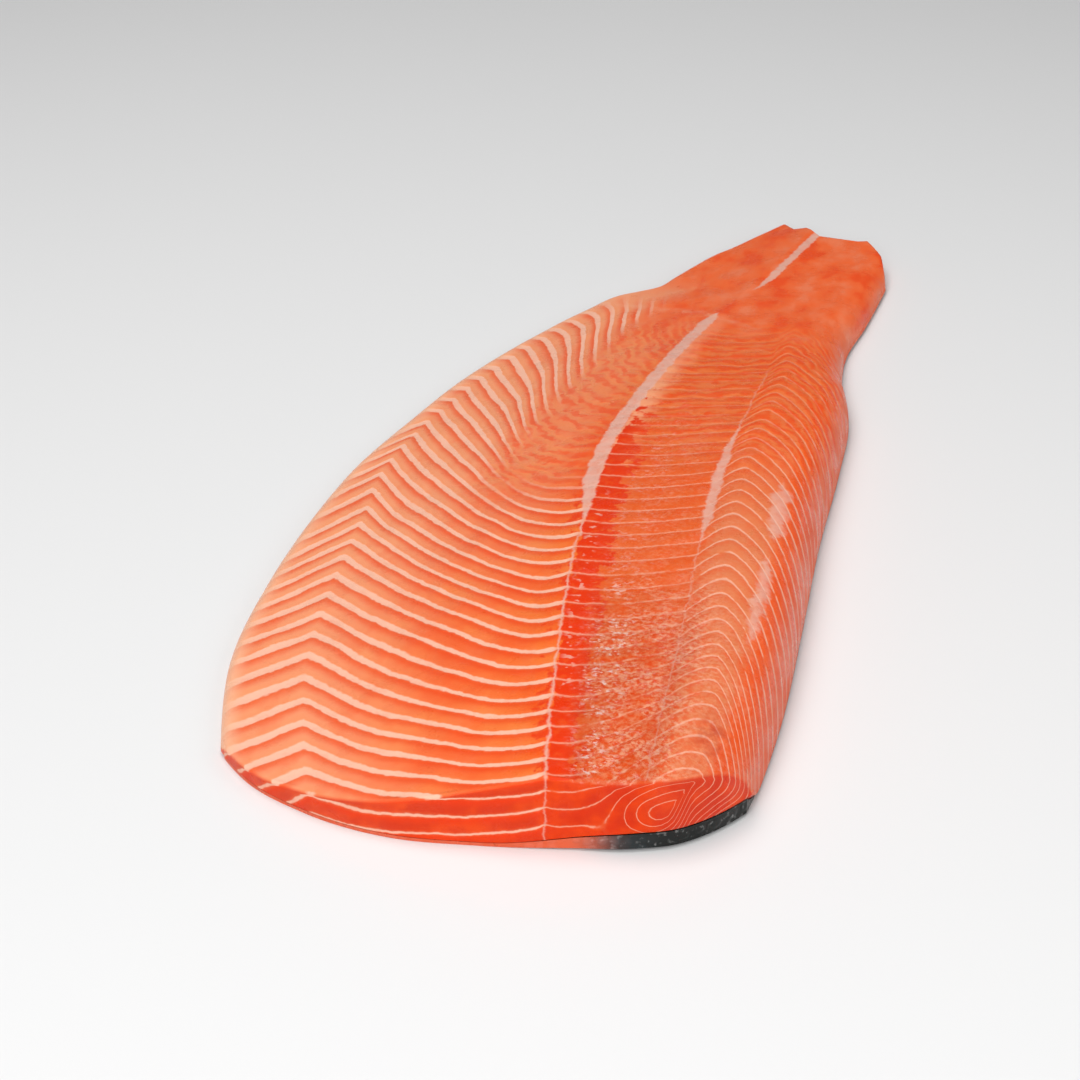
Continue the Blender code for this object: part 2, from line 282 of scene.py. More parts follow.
@dataclass(frozen=True)
class BellyChart:
    """How far each belly line rises toward the tail, at places from the midline to the belly edge."""

    sides: tuple[float, ...] = (0.0, 0.1, 0.2, 0.3, 0.4, 0.5, 0.6, 0.7, 0.8, 0.9)
    rises: tuple[tuple[float, tuple[float, ...]], ...] = (
        (-270, (0, -1.3, -2.5, -2.4, -1.9, -1.1, 1.4, 6.0, 11.0, 16.0)),
        (-250, (0, -1.2, -2.0, 0.1, 2.4, 4.0, 8.4, 15.2, 22.7, 30.3)),
        (-230, (0, -1.4, -0.8, 2.5, 5.8, 9.5, 15.9, 24.6, 32.7, 40.7)),
        (-210, (0, -1.4, 0.4, 5.2, 10.5, 17.4, 25.8, 35.8, 43.8, 52.2)),
        (-190, (0, -0.5, 3.5, 10.9, 18.5, 26.7, 34.4, 43.9, 53.4, 62.4)),
        (-170, (0, 0.0, 6.2, 14.3, 22.7, 31.2, 40.7, 50.5, 61.1, 70.9)),
        (-150, (0, -0.2, 6.3, 14.2, 22.9, 32.6, 43.2, 53.7, 66.1, 77.5)),
        (-130, (0, -0.6, 5.4, 13.6, 22.8, 33.7, 44.5, 54.9, 68.6, 82.2)),
        (-110, (0, -0.4, 5.2, 14.5, 24.5, 36.3, 48.1, 59.6, 72.6, 85.7)),
        (-90, (0, 0.0, 4.7, 14.3, 26.1, 39.9, 52.4, 64.6, 76.2, 88.7)),
        (-70, (0, 0.4, 4.0, 13.6, 27.9, 43.5, 56.8, 69.0, 79.8, 91.8)),
        (-50, (0, 0.9, 4.2, 13.7, 28.5, 45.5, 60.8, 73.1, 84.2, 95.6)),
        (-30, (0, 2.0, 6.0, 14.6, 28.3, 47.4, 66.1, 78.6, 89.4, 99.8)),
        (-10, (0, 3.8, 9.4, 18.3, 32.4, 51.9, 71.1, 84.6, 95.6, 104.0)),
        (10, (0, 6.3, 14.1, 24.5, 39.0, 57.0, 74.9, 89.6, 100.4, 106.0)),
        (30, (0, 9.2, 19.5, 31.7, 46.3, 62.5, 78.5, 92.5, 102.7, 108.7)),
        (50, (0, 12.3, 25.2, 39.0, 53.6, 68.2, 82.2, 94.6, 104.4, 112.3)),
        (290, (0, 12.3, 25.2, 39.0, 53.6, 68.2, 82.2, 94.6, 104.4, 112.3)),
    )
    fine: int = 91

    def table(self) -> tuple[Array, Array]:
        """Lays the chart out on a fine grid.

        Returns:
            The starts of the rows in metres, and the rises with one row for each start.
        """
        sides = np.linspace(self.sides[0], self.sides[-1], self.fine)
        rows = []
        for _, rises in self.rises:
            across = Curve(tuple((1000.0 * side, rise) for side, rise in zip(self.sides, rises)))
            rows.append(across.at(sides))
        starts = np.arange(-0.290, 0.2901, 0.002)
        coarse = np.stack(rows)
        columns = []
        for column in range(self.fine):
            pairs = tuple((start, coarse[row, column]) for row, (start, _) in enumerate(self.rises))
            columns.append(Curve(pairs, unit=1.0).at(starts))
        return starts, np.stack(columns, axis=-1)


@dataclass(frozen=True)
class MuscleLines:
    """Where the pale lines between the muscle segments run, through the depth of the flesh."""

    form: FilletForm
    chart: BellyChart = BellyChart()
    pitch: Curve = Curve(((-300, 8.3), (-240, 8.4), (-160, 9.9), (-60, 9.8), (300, 9.8)))
    first_line: float = -0.1325
    belly_apex: Curve = Curve((
        (-300, 0.70), (-219, 0.760), (-200, 0.765), (-154, 0.80), (-142, 0.817), (-132, 0.846), (-122, 0.866),
        (-112, 0.877), (-103, 0.888), (-84, 0.90), (-60, 1.05), (290, 1.05),
    ), unit=1.0, run=Run.STRAIGHT)
    belly_fall: Curve = Curve((
        (-300, 0.55), (-219, 0.80), (-200, 0.90), (-154, 1.45), (-120, 1.70), (-90, 1.9), (290, 1.9),
    ), unit=1.0, run=Run.STRAIGHT)
    back_rise: Curve = Curve((
        (-300, 30), (-245, 26), (-200, 16), (-160, 11), (0, 10), (290, 8),
    ), run=Run.STRAIGHT)
    arch_apex: Curve = Curve((
        (-300, 0.80), (-250, 0.78), (-225, 0.74), (-160, 0.69), (-96, 0.66), (290, 0.66),
    ), unit=1.0)
    arch_rise: float = 15.0 * MM
    flank_fall: Curve = Curve(((-300, 24), (-255, 28), (-190, 43), (-120, 46), (290, 46)))
    flank_power: float = 1.3
    hook_rise: float = 1.6 * MM
    hook_reach: float = 0.022
    second_line: float = 0.54
    third_line: float = 0.84
    depth_slope: float = 1.25
    loop_depth: float = 7.0 * MM
    loop_turn: float = math.radians(38)
    loop_half: float = 6.5 * MM
    loop_shift: float = -2.0 * MM
    loop_steepness: float = 3.8
    search_steps: int = 30

    def rise_finder(self) -> "RiseFinder":
        """Makes the table that gives the rise of any line.

        Returns:
            The table.
        """
        return RiseFinder(self)

    def lean(self, x: Array, y: Array, side: Array, depth: Array) -> Array:
        """Gives how far toward the tail a line has moved at a depth below the upper face.

        Args:
            x: places across the fish.
            y: places along the fish.
            side: the share of the way to an edge.
            depth: depth below the upper face.

        Returns:
            The movement in metres.
        """
        form = self.form
        middle, right = form.midline.at(y), form.back_edge.at(y)
        lean_over = self.loop_depth * math.tan(self.loop_turn) + self.loop_shift
        off = x - (middle + (right - middle) * self.arch_apex.at(y) - lean_over)
        at_top = self._loop(off, np.zeros_like(depth))
        in_loop = smooth_step(side, 0.18, 0.50)
        return (1.0 - in_loop) * self.depth_slope * depth + in_loop * (at_top - self._loop(off, depth))

    def _loop(self, off: Array, depth: Array) -> Array:
        """Gives the height of the cone of nested segments in the thick back.

        Args:
            off: distance across the fish from the loops' middle.
            depth: depth below the upper face.

        Returns:
            The height, in metres toward the head.
        """
        up = self.loop_depth - depth
        cross = math.cos(self.loop_turn) * off - math.sin(self.loop_turn) * up
        along = math.sin(self.loop_turn) * off + math.cos(self.loop_turn) * up
        past_end = np.maximum(np.abs(along) - self.loop_half, 0.0)
        return self.loop_steepness * np.hypot(cross, past_end)

    def start(self, x: Array, y: Array, depth: Array) -> Array:
        """Finds where the line through each place meets the midline of the upper face.

        Args:
            x: places across the fish.
            y: places along the fish.
            depth: depth below the upper face.

        Returns:
            The place along the midline, in metres.
        """
        finder = self.rise_finder()
        side = self.form.side(x, y)
        goal = y - self.lean(x, y, side, depth)
        low, high = np.full_like(y, -0.60), np.full_like(y, 0.60)
        for _ in range(self.search_steps):
            middle = (low + high) / 2
            over = middle + finder.rise(middle, side) > goal
            high = np.where(over, middle, high)
            low = np.where(over, low, middle)
        return (low + high) / 2

    def count(self, start: Array) -> Array:
        """Counts the lines from the first one to each place on the midline.

        Args:
            start: places along the midline.

        Returns:
            The count, whole on a line.
        """
        stations = np.linspace(-0.62, 0.62, 1241)
        passed = np.concatenate(([0.0], np.cumsum(np.diff(stations) / self.pitch.at(stations[:-1]))))
        return np.interp(start, stations, passed) - np.interp(self.first_line, stations, passed)


class RiseFinder:
    """Looks up how far toward the tail a line has risen since it left the midline."""

    def __init__(self, lines: MuscleLines) -> None:
        """Lays out the belly chart.

        Args:
            lines: the sizes of the lines.
        """
        self.lines = lines
        self.starts, self.table = lines.chart.table()

    def rise(self, start: Array, side: Array) -> Array:
        """Gives the rise.

        Args:
            start: where the line meets the midline.
            side: the share of the way to an edge, below 0 on the belly side.

        Returns:
            The rise in metres.
        """
        lines, form = self.lines, self.lines.form
        apex = lines.belly_apex.at(start)
        width = form.midline.at(start) - form.belly_edge.at(start)
        out = np.minimum(-side, apex)
        belly = self._charted(start, np.maximum(out, 0.0)) - lines.belly_fall.at(start) * width * np.maximum(
            -side - apex, 0.0
        )
        belly = belly + lines.hook_rise * (np.exp(side / lines.hook_reach) - 1.0) * (side < 0.0)
        top = lines.arch_apex.at(start)
        near = np.clip(side / lines.second_line, 0.0, 1.0)
        arch = np.clip((side - lines.second_line) / (top - lines.second_line), 0.0, 1.0)
        down = np.clip((side - top) / (1.0 - top), 0.0, 1.0)
        back = (
            lines.back_rise.at(start) * near**2
            + lines.arch_rise * np.sin(arch * np.pi / 2)
            - lines.flank_fall.at(start) * down**lines.flank_power
        )
        return np.where(side < 0.0, belly, back)

    def _charted(self, start: Array, side: Array) -> Array:
        """Reads the fine chart between its points.

        Args:
            start: where the line meets the midline.
            side: the share of the way to the belly edge.

        Returns:
            The rise in metres.
        """
        rows, columns = self.table.shape
        row = np.clip((start - self.starts[0]) / (self.starts[1] - self.starts[0]), 0.0, rows - 1.001)
        column = np.clip(side / self.lines.chart.sides[-1] * (columns - 1), 0.0, columns - 1.001)
        i, j = row.astype(int), column.astype(int)
        u, v = row - i, column - j
        near = self.table[i, j] * (1 - v) + self.table[i, j + 1] * v
        far = self.table[i + 1, j] * (1 - v) + self.table[i + 1, j + 1] * v
        return near * (1 - u) + far * u


def select_only(piece: bpy.types.Object) -> None:
    """Makes the piece the only selected and the active object.

    Args:
        piece: the object to select.
    """
    bpy.ops.object.select_all(action="DESELECT")
    bpy.context.view_layer.objects.active = piece
    piece.select_set(True)


def read_points(piece: bpy.types.Object) -> Array:
    """Reads a mesh's points.

    Args:
        piece: the mesh object.

    Returns:
        One row of x, y, z for each point.
    """
    values = np.empty(len(piece.data.vertices) * 3)
    piece.data.vertices.foreach_get("co", values)
    return values.reshape(-1, 3)


def write_points(piece: bpy.types.Object, points: Array) -> None:
    """Moves a mesh's points.

    Args:
        piece: the mesh object.
        points: one row of x, y, z for each point.
    """
    piece.data.vertices.foreach_set("co", points.astype(np.float32).ravel())
    piece.data.update()


def write_numbers(piece: bpy.types.Object, name: str, *columns: Array) -> None:
    """Stores one or three numbers for each point, for the materials to read.

    Args:
        piece: the mesh object.
        name: the attribute's name.
        columns: one array, or three.
    """
    kind = "FLOAT" if len(columns) == 1 else "FLOAT_VECTOR"
    old = piece.data.attributes.get(name)
    if old is not None:
        piece.data.attributes.remove(old)
    made = piece.data.attributes.new(name, kind, "POINT")
    values = np.stack(columns, axis=-1).astype(np.float32).ravel()
    made.data.foreach_set("value" if len(columns) == 1 else "vector", values)


def read_numbers(piece: bpy.types.Object, name: str) -> Array:
    """Reads one stored number for each point.

    Args:
        piece: the mesh object.
        name: the attribute's name.

    Returns:
        The numbers.
    """
    values = np.empty(len(piece.data.vertices), np.float32)
    piece.data.attributes[name].data.foreach_get("value", values)
    return values.astype(float)


def plan_grid(name: str, columns: int, rows: int) -> bpy.types.Object:
    """Adds a grid primitive that carries its own places as attributes.

    Args:
        name: the object's name.
        columns: faces across.
        rows: faces along.

    Returns:
        The object, with the attributes across, along and ring on its points.
    """
    bpy.ops.object.select_all(action="DESELECT")
    bpy.ops.mesh.primitive_grid_add(x_subdivisions=columns, y_subdivisions=rows, size=1.0, location=(0, 0, 0))
    piece = bpy.context.active_object
    piece.name = name
    piece.data.name = name
    for layer in list(piece.data.uv_layers):
        piece.data.uv_layers.remove(layer)
    points = read_points(piece)
    write_numbers(piece, "across", points[:, 0] + 0.5)
    write_numbers(piece, "along", points[:, 1] + 0.5)
    write_numbers(piece, "ring", np.zeros(len(points)))
    return piece


@dataclass
class SheetGrid:
    """A grid primitive whose border is extruded down in rings and closed underneath."""

    name: str
    columns: int
    rows: int
    rings: int

    def build(self) -> bpy.types.Object:
        """Adds the grid, extrudes its border and fills the opening.

        Returns:
            The object, with the attributes across, along and ring on its points.
        """
        piece = plan_grid(self.name, self.columns, self.rows)
        for ring in range(1, self.rings + 1):
            known = len(piece.data.vertices)
            self._extrude_border()
            rings = read_numbers(piece, "ring")
            rings[known:] = ring
            piece.data.attributes["ring"].data.foreach_set("value", rings.astype(np.float32))
        self._fill()
        return piece

    def _extrude_border(self) -> None:
        """Extrudes the open border a little way down."""
        bpy.ops.object.mode_set(mode="EDIT")
        bpy.ops.mesh.select_mode(type="EDGE")
        bpy.ops.mesh.select_all(action="DESELECT")
        bpy.ops.mesh.select_non_manifold(extend=False)
        bpy.ops.mesh.extrude_edges_move(TRANSFORM_OT_translate={"value": (0.0, 0.0, -0.01)})
        bpy.ops.object.mode_set(mode="OBJECT")

    def _fill(self) -> None:
        """Closes the opening with one face."""
        bpy.ops.object.mode_set(mode="EDIT")
        bpy.ops.mesh.select_all(action="DESELECT")
        bpy.ops.mesh.select_non_manifold(extend=False)
        bpy.ops.mesh.edge_face_add()
        bpy.ops.object.mode_set(mode="OBJECT")


def finish_piece(piece: bpy.types.Object, smooth_under: float) -> None:
    """Triangulates the closing face, turns the faces outward and shades the piece.

    Args:
        piece: the mesh object.
        smooth_under: the edge angle below which shading is smooth, in radians.
    """
    select_only(piece)
    bpy.ops.object.mode_set(mode="EDIT")
    bpy.ops.mesh.select_all(action="SELECT")
    bpy.ops.mesh.normals_make_consistent(inside=False)
    bpy.ops.mesh.select_all(action="DESELECT")
    bpy.ops.mesh.select_face_by_sides(number=4, type="GREATER")
    bpy.ops.mesh.quads_convert_to_tris(quad_method="BEAUTY", ngon_method="BEAUTY")
    bpy.ops.object.mode_set(mode="OBJECT")
    bpy.ops.object.shade_smooth_by_angle(angle=smooth_under)


class Nodes:
    """Builds one node tree in short calls."""

    def __init__(self, tree: bpy.types.NodeTree) -> None:
        """Keeps the tree.

        Args:
            tree: the node tree to build in.
        """
        self.tree = tree
        self.made = 0

    def add(self, kind: str, **settings: object) -> bpy.types.Node:
        """Adds a node and sets its properties.

        Args:
            kind: the node's type name without its ShaderNode prefix.
            settings: property names and values.

        Returns:
            The node.
        """
        node = self.tree.nodes.new("ShaderNode" + kind)
        node.location = (180 * (self.made % 24), -220 * (self.made // 24))
        self.made += 1
        for name, value in settings.items():
            setattr(node, name, value)
        return node

    def feed(self, socket: bpy.types.NodeSocket, value: object) -> None:
        """Links an output to a socket, or sets the socket's own value.

        Args:
            socket: the input socket.
            value: an output socket, a number or a colour.
        """
        if isinstance(value, bpy.types.NodeSocket):
            self.tree.links.new(value, socket)
        elif socket.type == "RGBA" and len(value) == 3:
            socket.default_value = (*value, 1.0)
        else:
            socket.default_value = value

    def math(
        self, operation: str, first: object, second: object = 0.0, clamp: bool = False
    ) -> bpy.types.NodeSocket:
        """Adds a Math node.

        Args:
            operation: the operation's name.
            first: the first value.
            second: the second value.
            clamp: whether to keep the result between 0 and 1.

        Returns:
            The result.
        """
        node = self.add("Math", operation=operation, use_clamp=clamp)
        self.feed(node.inputs[0], first)
        self.feed(node.inputs[1], second)
        return node.outputs[0]

    def ramp(self, value: object, start: object, end: object) -> bpy.types.NodeSocket:
        """Maps a value smoothly from 0 at start to 1 at end.

        Args:
            value: the value to map.
            start: where the rise starts.
            end: where the rise ends.

        Returns:
            The share of the rise.
        """
        node = self.add("MapRange", interpolation_type="SMOOTHSTEP")
        self.feed(node.inputs["Value"], value)
        self.feed(node.inputs["From Min"], start)
        self.feed(node.inputs["From Max"], end)
        return node.outputs["Result"]

    def mix(self, share: object, first: object, second: object, blend: str = "MIX") -> bpy.types.NodeSocket:
        """Mixes two colours.

        Args:
            share: how much of the second colour.
            first: the first colour.
            second: the second colour.
            blend: the blend type.

        Returns:
            The mixed colour.
        """
        node = self.add("Mix", data_type="RGBA", blend_type=blend)
        self.feed(node.inputs[0], share)
        self.feed(node.inputs[6], first)
        self.feed(node.inputs[7], second)
        return node.outputs[2]

    def noise(
        self, vector: object, scale: float, detail: float = 2.0, rough: float = 0.5
    ) -> bpy.types.NodeSocket:
        """Adds a Noise texture.

        Args:
            vector: the coordinates.
            scale: how many bumps a metre.
            detail: the octaves.
            rough: how strong each octave is.

        Returns:
            The noise, about 0 to 1.
        """
        node = self.add("TexNoise")
        self.feed(node.inputs["Vector"], vector)
        self.feed(node.inputs["Scale"], scale)
        self.feed(node.inputs["Detail"], detail)
        self.feed(node.inputs["Roughness"], rough)
        return node.outputs["Fac"]

    def stretch(self, vector: object, scale: Colour) -> bpy.types.NodeSocket:
        """Scales coordinates, so that a pattern on them is drawn out.

        Args:
            vector: the coordinates.
            scale: the factor on each axis.

        Returns:
            The scaled coordinates.
        """
        node = self.add("Mapping")
        self.feed(node.inputs["Vector"], vector)
        node.inputs["Scale"].default_value = scale
        return node.outputs["Vector"]

    def numbers(self, name: str) -> tuple[bpy.types.NodeSocket, bpy.types.NodeSocket, bpy.types.NodeSocket]:
        """Reads the three numbers of a stored attribute.

        Args:
            name: the attribute's name.

        Returns:
            The three numbers.
        """
        read = self.add("Attribute", attribute_type="GEOMETRY", attribute_name=name)
        split = self.add("SeparateXYZ")
        self.feed(split.inputs[0], read.outputs["Vector"])
        return split.outputs[0], split.outputs[1], split.outputs[2]

    def bump(self, height: object, strength: float, distance: float) -> bpy.types.NodeSocket:
        """Adds a Bump node.

        Args:
            height: the height.
            strength: how much of the bump shows.
            distance: the height of one unit, in metres.

        Returns:
            The bumped normal.
        """
        node = self.add("Bump")
        self.feed(node.inputs["Height"], height)
        node.inputs["Strength"].default_value = strength
        node.inputs["Distance"].default_value = distance
        return node.outputs["Normal"]

    def group(self, tree: bpy.types.NodeTree, **values: object) -> bpy.types.Node:
        """Places a node group.

        Args:
            tree: the group.
            values: input names, with _ for a space, and values.

        Returns:
            The group node.
        """
        node = self.add("Group", node_tree=tree)
        for name, value in values.items():
            self.feed(node.inputs[name.replace("_", " ")], value)
        return node


def new_group(name: str, inputs: dict[str, str], outputs: dict[str, str]) -> bpy.types.NodeTree:
    """Makes an empty node group with named sockets.

    Args:
        name: the group's name.
        inputs: input names and socket types.
        outputs: output names and socket types.

    Returns:
        The group's tree.
    """
    tree = bpy.data.node_groups.new(name, "ShaderNodeTree")
    for label, kind in inputs.items():
        tree.interface.new_socket(label, in_out="INPUT", socket_type="NodeSocket" + kind)
    for label, kind in outputs.items():
        tree.interface.new_socket(label, in_out="OUTPUT", socket_type="NodeSocket" + kind)
    return tree


class Effects:
    """The node groups that the finishes share, each built once."""

    def __init__(self) -> None:
        """Builds the groups."""
        self.stripe = self._stripe()
        self.band = self._band()
        self.wetness = self._wetness()

    def _stripe(self) -> bpy.types.NodeTree:
        """Builds the group that draws a line wherever a count is whole.

        Returns:
            The group, with a Core and a Halo mask and the Phase from one line to the next.
        """
        tree = new_group(
            "count_stripe",
            {"Count": "Float", "Half Width": "Float", "Softness": "Float", "Wobble": "Float"},
            {"Core": "Float", "Halo": "Float", "Phase": "Float"},
        )
        n = Nodes(tree)
        source, result = tree.nodes.new("NodeGroupInput"), tree.nodes.new("NodeGroupOutput")
        count = n.math("ADD", source.outputs["Count"], source.outputs["Wobble"])
        nearest = n.math("FLOOR", n.math("ADD", count, 0.5))
        distance = n.math("ABSOLUTE", n.math("SUBTRACT", count, nearest))
        half, soft = source.outputs["Half Width"], source.outputs["Softness"]
        inner = n.math("SUBTRACT", half, soft)
        outer = n.math("ADD", half, soft)
        n.feed(result.inputs["Core"], n.ramp(distance, outer, inner))
        n.feed(result.inputs["Halo"], n.ramp(distance, n.math("MULTIPLY", outer, 2.2), inner))
        n.feed(result.inputs["Phase"], n.math("FRACT", count))
        return tree

    def _band(self) -> bpy.types.NodeTree:
        """Builds the group that draws a ragged band along a line.

        Returns:
            The group, with a Mask.
        """
        tree = new_group(
            "ragged_band",
            {
                "Vector": "Vector", "Distance": "Float", "Half Width": "Float",
                "Raggedness": "Float", "Softness": "Float",
            },
            {"Mask": "Float"},
        )
        n = Nodes(tree)
        source, result = tree.nodes.new("NodeGroupInput"), tree.nodes.new("NodeGroupOutput")
        coarse = n.noise(source.outputs["Vector"], 150.0, 2.0, 0.55)
        fine = n.noise(source.outputs["Vector"], 620.0, 2.0, 0.55)
        ragged = n.math(
            "ADD", n.math("SUBTRACT", coarse, 0.5), n.math("MULTIPLY", n.math("SUBTRACT", fine, 0.5), 0.5)
        )
        moved = n.math(
            "ADD", source.outputs["Distance"], n.math("MULTIPLY", ragged, source.outputs["Raggedness"])
        )
        away = n.math("ABSOLUTE", moved)
        half, soft = source.outputs["Half Width"], source.outputs["Softness"]
        n.feed(result.inputs["Mask"], n.ramp(away, n.math("ADD", half, soft), n.math("SUBTRACT", half, soft)))
        return tree

    def _wetness(self) -> bpy.types.NodeTree:
        """Builds the group that varies the film of moisture on a wet surface.

        Returns:
            The group, with Roughness and Coat masks and a Height.
        """
        tree = new_group(
            "moist_film",
            {"Vector": "Vector", "Dry Roughness": "Float", "Wet Roughness": "Float"},
            {"Roughness": "Float", "Coat": "Float", "Height": "Float"},
        )
        n = Nodes(tree)
        source, result = tree.nodes.new("NodeGroupInput"), tree.nodes.new("NodeGroupOutput")
        lumps = n.noise(source.outputs["Vector"], 95.0, 2.0, 0.5)
        patches = n.ramp(lumps, 0.34, 0.66)
        fine = n.noise(source.outputs["Vector"], 900.0, 2.0, 0.6)
        dry, wet = source.outputs["Dry Roughness"], source.outputs["Wet Roughness"]
        rough = n.math("ADD", dry, n.math("MULTIPLY", n.math("SUBTRACT", wet, dry), patches))
        n.feed(
            result.inputs["Roughness"],
            n.math("ADD", rough, n.math("MULTIPLY", n.math("SUBTRACT", fine, 0.5), 0.12)),
        )
        n.feed(result.inputs["Coat"], n.math("MULTIPLY", patches, 0.10))
        n.feed(result.inputs["Height"], lumps)
        return tree


@dataclass(frozen=True)
class FleshFinish:
    """The look of the raw flesh, driven by the numbers stored on its points."""

    orange: Colour = (0.86, 0.085, 0.002)
    burnt_orange: Colour = (0.84, 0.040, 0.001)
    light_orange: Colour = (0.89, 0.195, 0.030)
    pale_orange: Colour = (0.90, 0.270, 0.085)
    far_pale: Colour = (0.92, 0.410, 0.220)
    deep_red: Colour = (0.78, 0.034, 0.001)
    deep_orange: Colour = (0.82, 0.100, 0.014)
    back_orange: Colour = (0.81, 0.120, 0.018)
    loin_orange: Colour = (0.76, 0.205, 0.078)
    far_orange: Colour = (0.86, 0.130, 0.020)
    flank_orange: Colour = (0.90, 0.095, 0.006)
    tail_orange: Colour = (0.92, 0.140, 0.034)
    tail_dark: Colour = (0.88, 0.068, 0.008)
    tail_pale: Colour = (0.92, 0.290, 0.150)
    cut_orange: Colour = (0.82, 0.052, 0.0005)
    cut_red: Colour = (0.66, 0.021, 0.0005)
    pale_line: Colour = (0.94, 0.520, 0.370)
    thin_line: Colour = (0.90, 0.490, 0.350)
    band_pale: Colour = (0.82, 0.460, 0.360)
    edge_pale: Colour = (0.93, 0.490, 0.300)
    # Pale of the torn face: partly real pale shreds of flesh, partly painted sheen of the wet surface.
    torn_pale_and_sheen: Colour = (0.93, 0.420, 0.250)
    # Painted highlight: the near-white of the glints on the torn face.
    painted_glint_white: Colour = (0.95, 0.800, 0.740)
    torn_red: Colour = (0.83, 0.062, 0.006)
    bruise: Colour = (0.50, 0.035, 0.020)
    roughness_dry: float = 0.44
    roughness_wet: float = 0.24
    coat_roughness: float = 0.10
    specular_level: float = 0.12

    def build(self, effects: Effects) -> bpy.types.Material:
        """Builds the material.

        Args:
            effects: the shared node groups.

        Returns:
            The material.
        """
        made = bpy.data.materials.new("salmon_flesh_wet")
        made.use_nodes = True
        tree = made.node_tree
        shader = tree.nodes["Principled BSDF"]
        n = Nodes(tree)
        place = n.add("TexCoord").outputs["Object"]
        flow = n.add("UVMap", uv_map="muscle").outputs["UV"]
        count, half_width, strength = n.numbers("muscle")
        side, deep, tail = n.numbers("zones")
        edge, torn, cut = n.numbers("tone")
        ripple, crease, belly = n.numbers("tail_marks")

        medium = n.noise(place, 140.0, 3.0, 0.6)
        fibres = n.noise(n.stretch(flow, (1.0, 0.12, 1.0)), 950.0, 3.0, 0.6)
        wobble = n.math(
            "ADD",
            n.math("MULTIPLY", n.math("SUBTRACT", n.noise(place, 85.0, 2.0, 0.5), 0.5), 0.20),
            n.math("MULTIPLY", n.math("SUBTRACT", n.noise(place, 420.0, 2.0, 0.5), 0.5), 0.13),
        )
        swell = n.math(
            "MULTIPLY", half_width,
            n.math("ADD", 0.62, n.math("MULTIPLY", n.noise(place, 60.0, 2.0, 0.5), 0.8)),
        )
        line = n.group(effects.stripe, Count=count, Half_Width=swell, Softness=0.04, Wobble=wobble)
        broken = n.ramp(n.noise(place, 110.0, 3.0, 0.6), 0.30, 0.44)
        kept = n.math("MAXIMUM", broken, n.math("MULTIPLY", belly, 0.9))
        core = n.math("MULTIPLY", n.math("MULTIPLY", line.outputs["Core"], strength), kept, clamp=True)
        halo = n.math("MULTIPLY", line.outputs["Halo"], strength)
        phase = line.outputs["Phase"]

        colour = self._ground(n, place, medium, side, deep, tail, cut)
        burnt = n.math("MULTIPLY", n.ramp(phase, 0.35, 0.85), n.math("MULTIPLY", strength, 0.78))
        colour = n.mix(
            n.math("MULTIPLY", burnt, n.math("ADD", 0.35, n.math("MULTIPLY", belly, 0.65))),
            colour, self.burnt_orange,
        )
        streaked = n.math(
            "MULTIPLY", n.ramp(fibres, 0.47, 0.66), n.math("ADD", 0.16, n.math("MULTIPLY", belly, 0.36))
        )
        streaked = n.math("MULTIPLY", streaked, n.math("SUBTRACT", 1.0, n.math("MULTIPLY", cut, 0.65)))
        streaked = n.math("MULTIPLY", streaked, n.math("SUBTRACT", 1.15, n.math("MULTIPLY", phase, 0.6)))
        streaked = n.math("MULTIPLY", streaked, n.math("SUBTRACT", 1.0, n.math("MULTIPLY", deep, 0.6)))
        colour = n.mix(streaked, colour, self.pale_orange)
        dark_streaks = n.math("MULTIPLY", n.ramp(fibres, 0.48, 0.30), n.math("MULTIPLY", belly, 0.40))
        colour = n.mix(dark_streaks, colour, self.burnt_orange)
        colour = n.mix(n.math("MULTIPLY", halo, 0.22), colour, self.pale_orange)
        pale = n.mix(belly, self.thin_line, self.pale_line)
        colour = n.mix(n.math("MULTIPLY", core, 0.92), colour, pale)

        stir = n.math("MULTIPLY", n.math("SUBTRACT", n.noise(place, 80.0, 3.0, 0.6), 0.5), 2.4)
        fine = n.group(
            effects.stripe, Count=n.math("MULTIPLY", count, 1.25), Half_Width=0.14, Softness=0.24,
            Wobble=stir,
        )
        crest = n.math("MULTIPLY", n.math("MULTIPLY", fine.outputs["Core"], ripple), 0.45)
        trough = n.math("MULTIPLY", n.math("MULTIPLY", n.ramp(fine.outputs["Core"], 0.4, 0.0), ripple), 0.55)
        colour = n.mix(n.math("MULTIPLY", trough, n.ramp(medium, 0.35, 0.60)), colour, self.tail_dark)
        colour = n.mix(crest, colour, self.pale_orange)

        shown = n.math("MULTIPLY", torn, n.math("SUBTRACT", 1.0, n.math("MULTIPLY", deep, 0.75)))
        colour = self._tear(n, place, flow, shown, side, colour)
        colour = self._bands(n, effects, place, colour)
        colour = n.mix(n.math("MULTIPLY", crease, n.ramp(medium, 0.30, 0.60)), colour, self.torn_pale_and_sheen)
        colour = n.mix(n.math("MULTIPLY", edge, 0.85), colour, self.edge_pale)
        n.feed(shader.inputs["Base Color"], colour)

        film = n.group(
            effects.wetness, Vector=place, Dry_Roughness=self.roughness_dry, Wet_Roughness=self.roughness_wet
        )
        n.feed(shader.inputs["Roughness"], film.outputs["Roughness"])
        coat = n.math("ADD", film.outputs["Coat"], n.math("MULTIPLY", torn, 0.10))
        n.feed(shader.inputs["Coat Weight"], coat)
        shader.inputs["Coat Roughness"].default_value = self.coat_roughness
        shader.inputs["Specular IOR Level"].default_value = self.specular_level

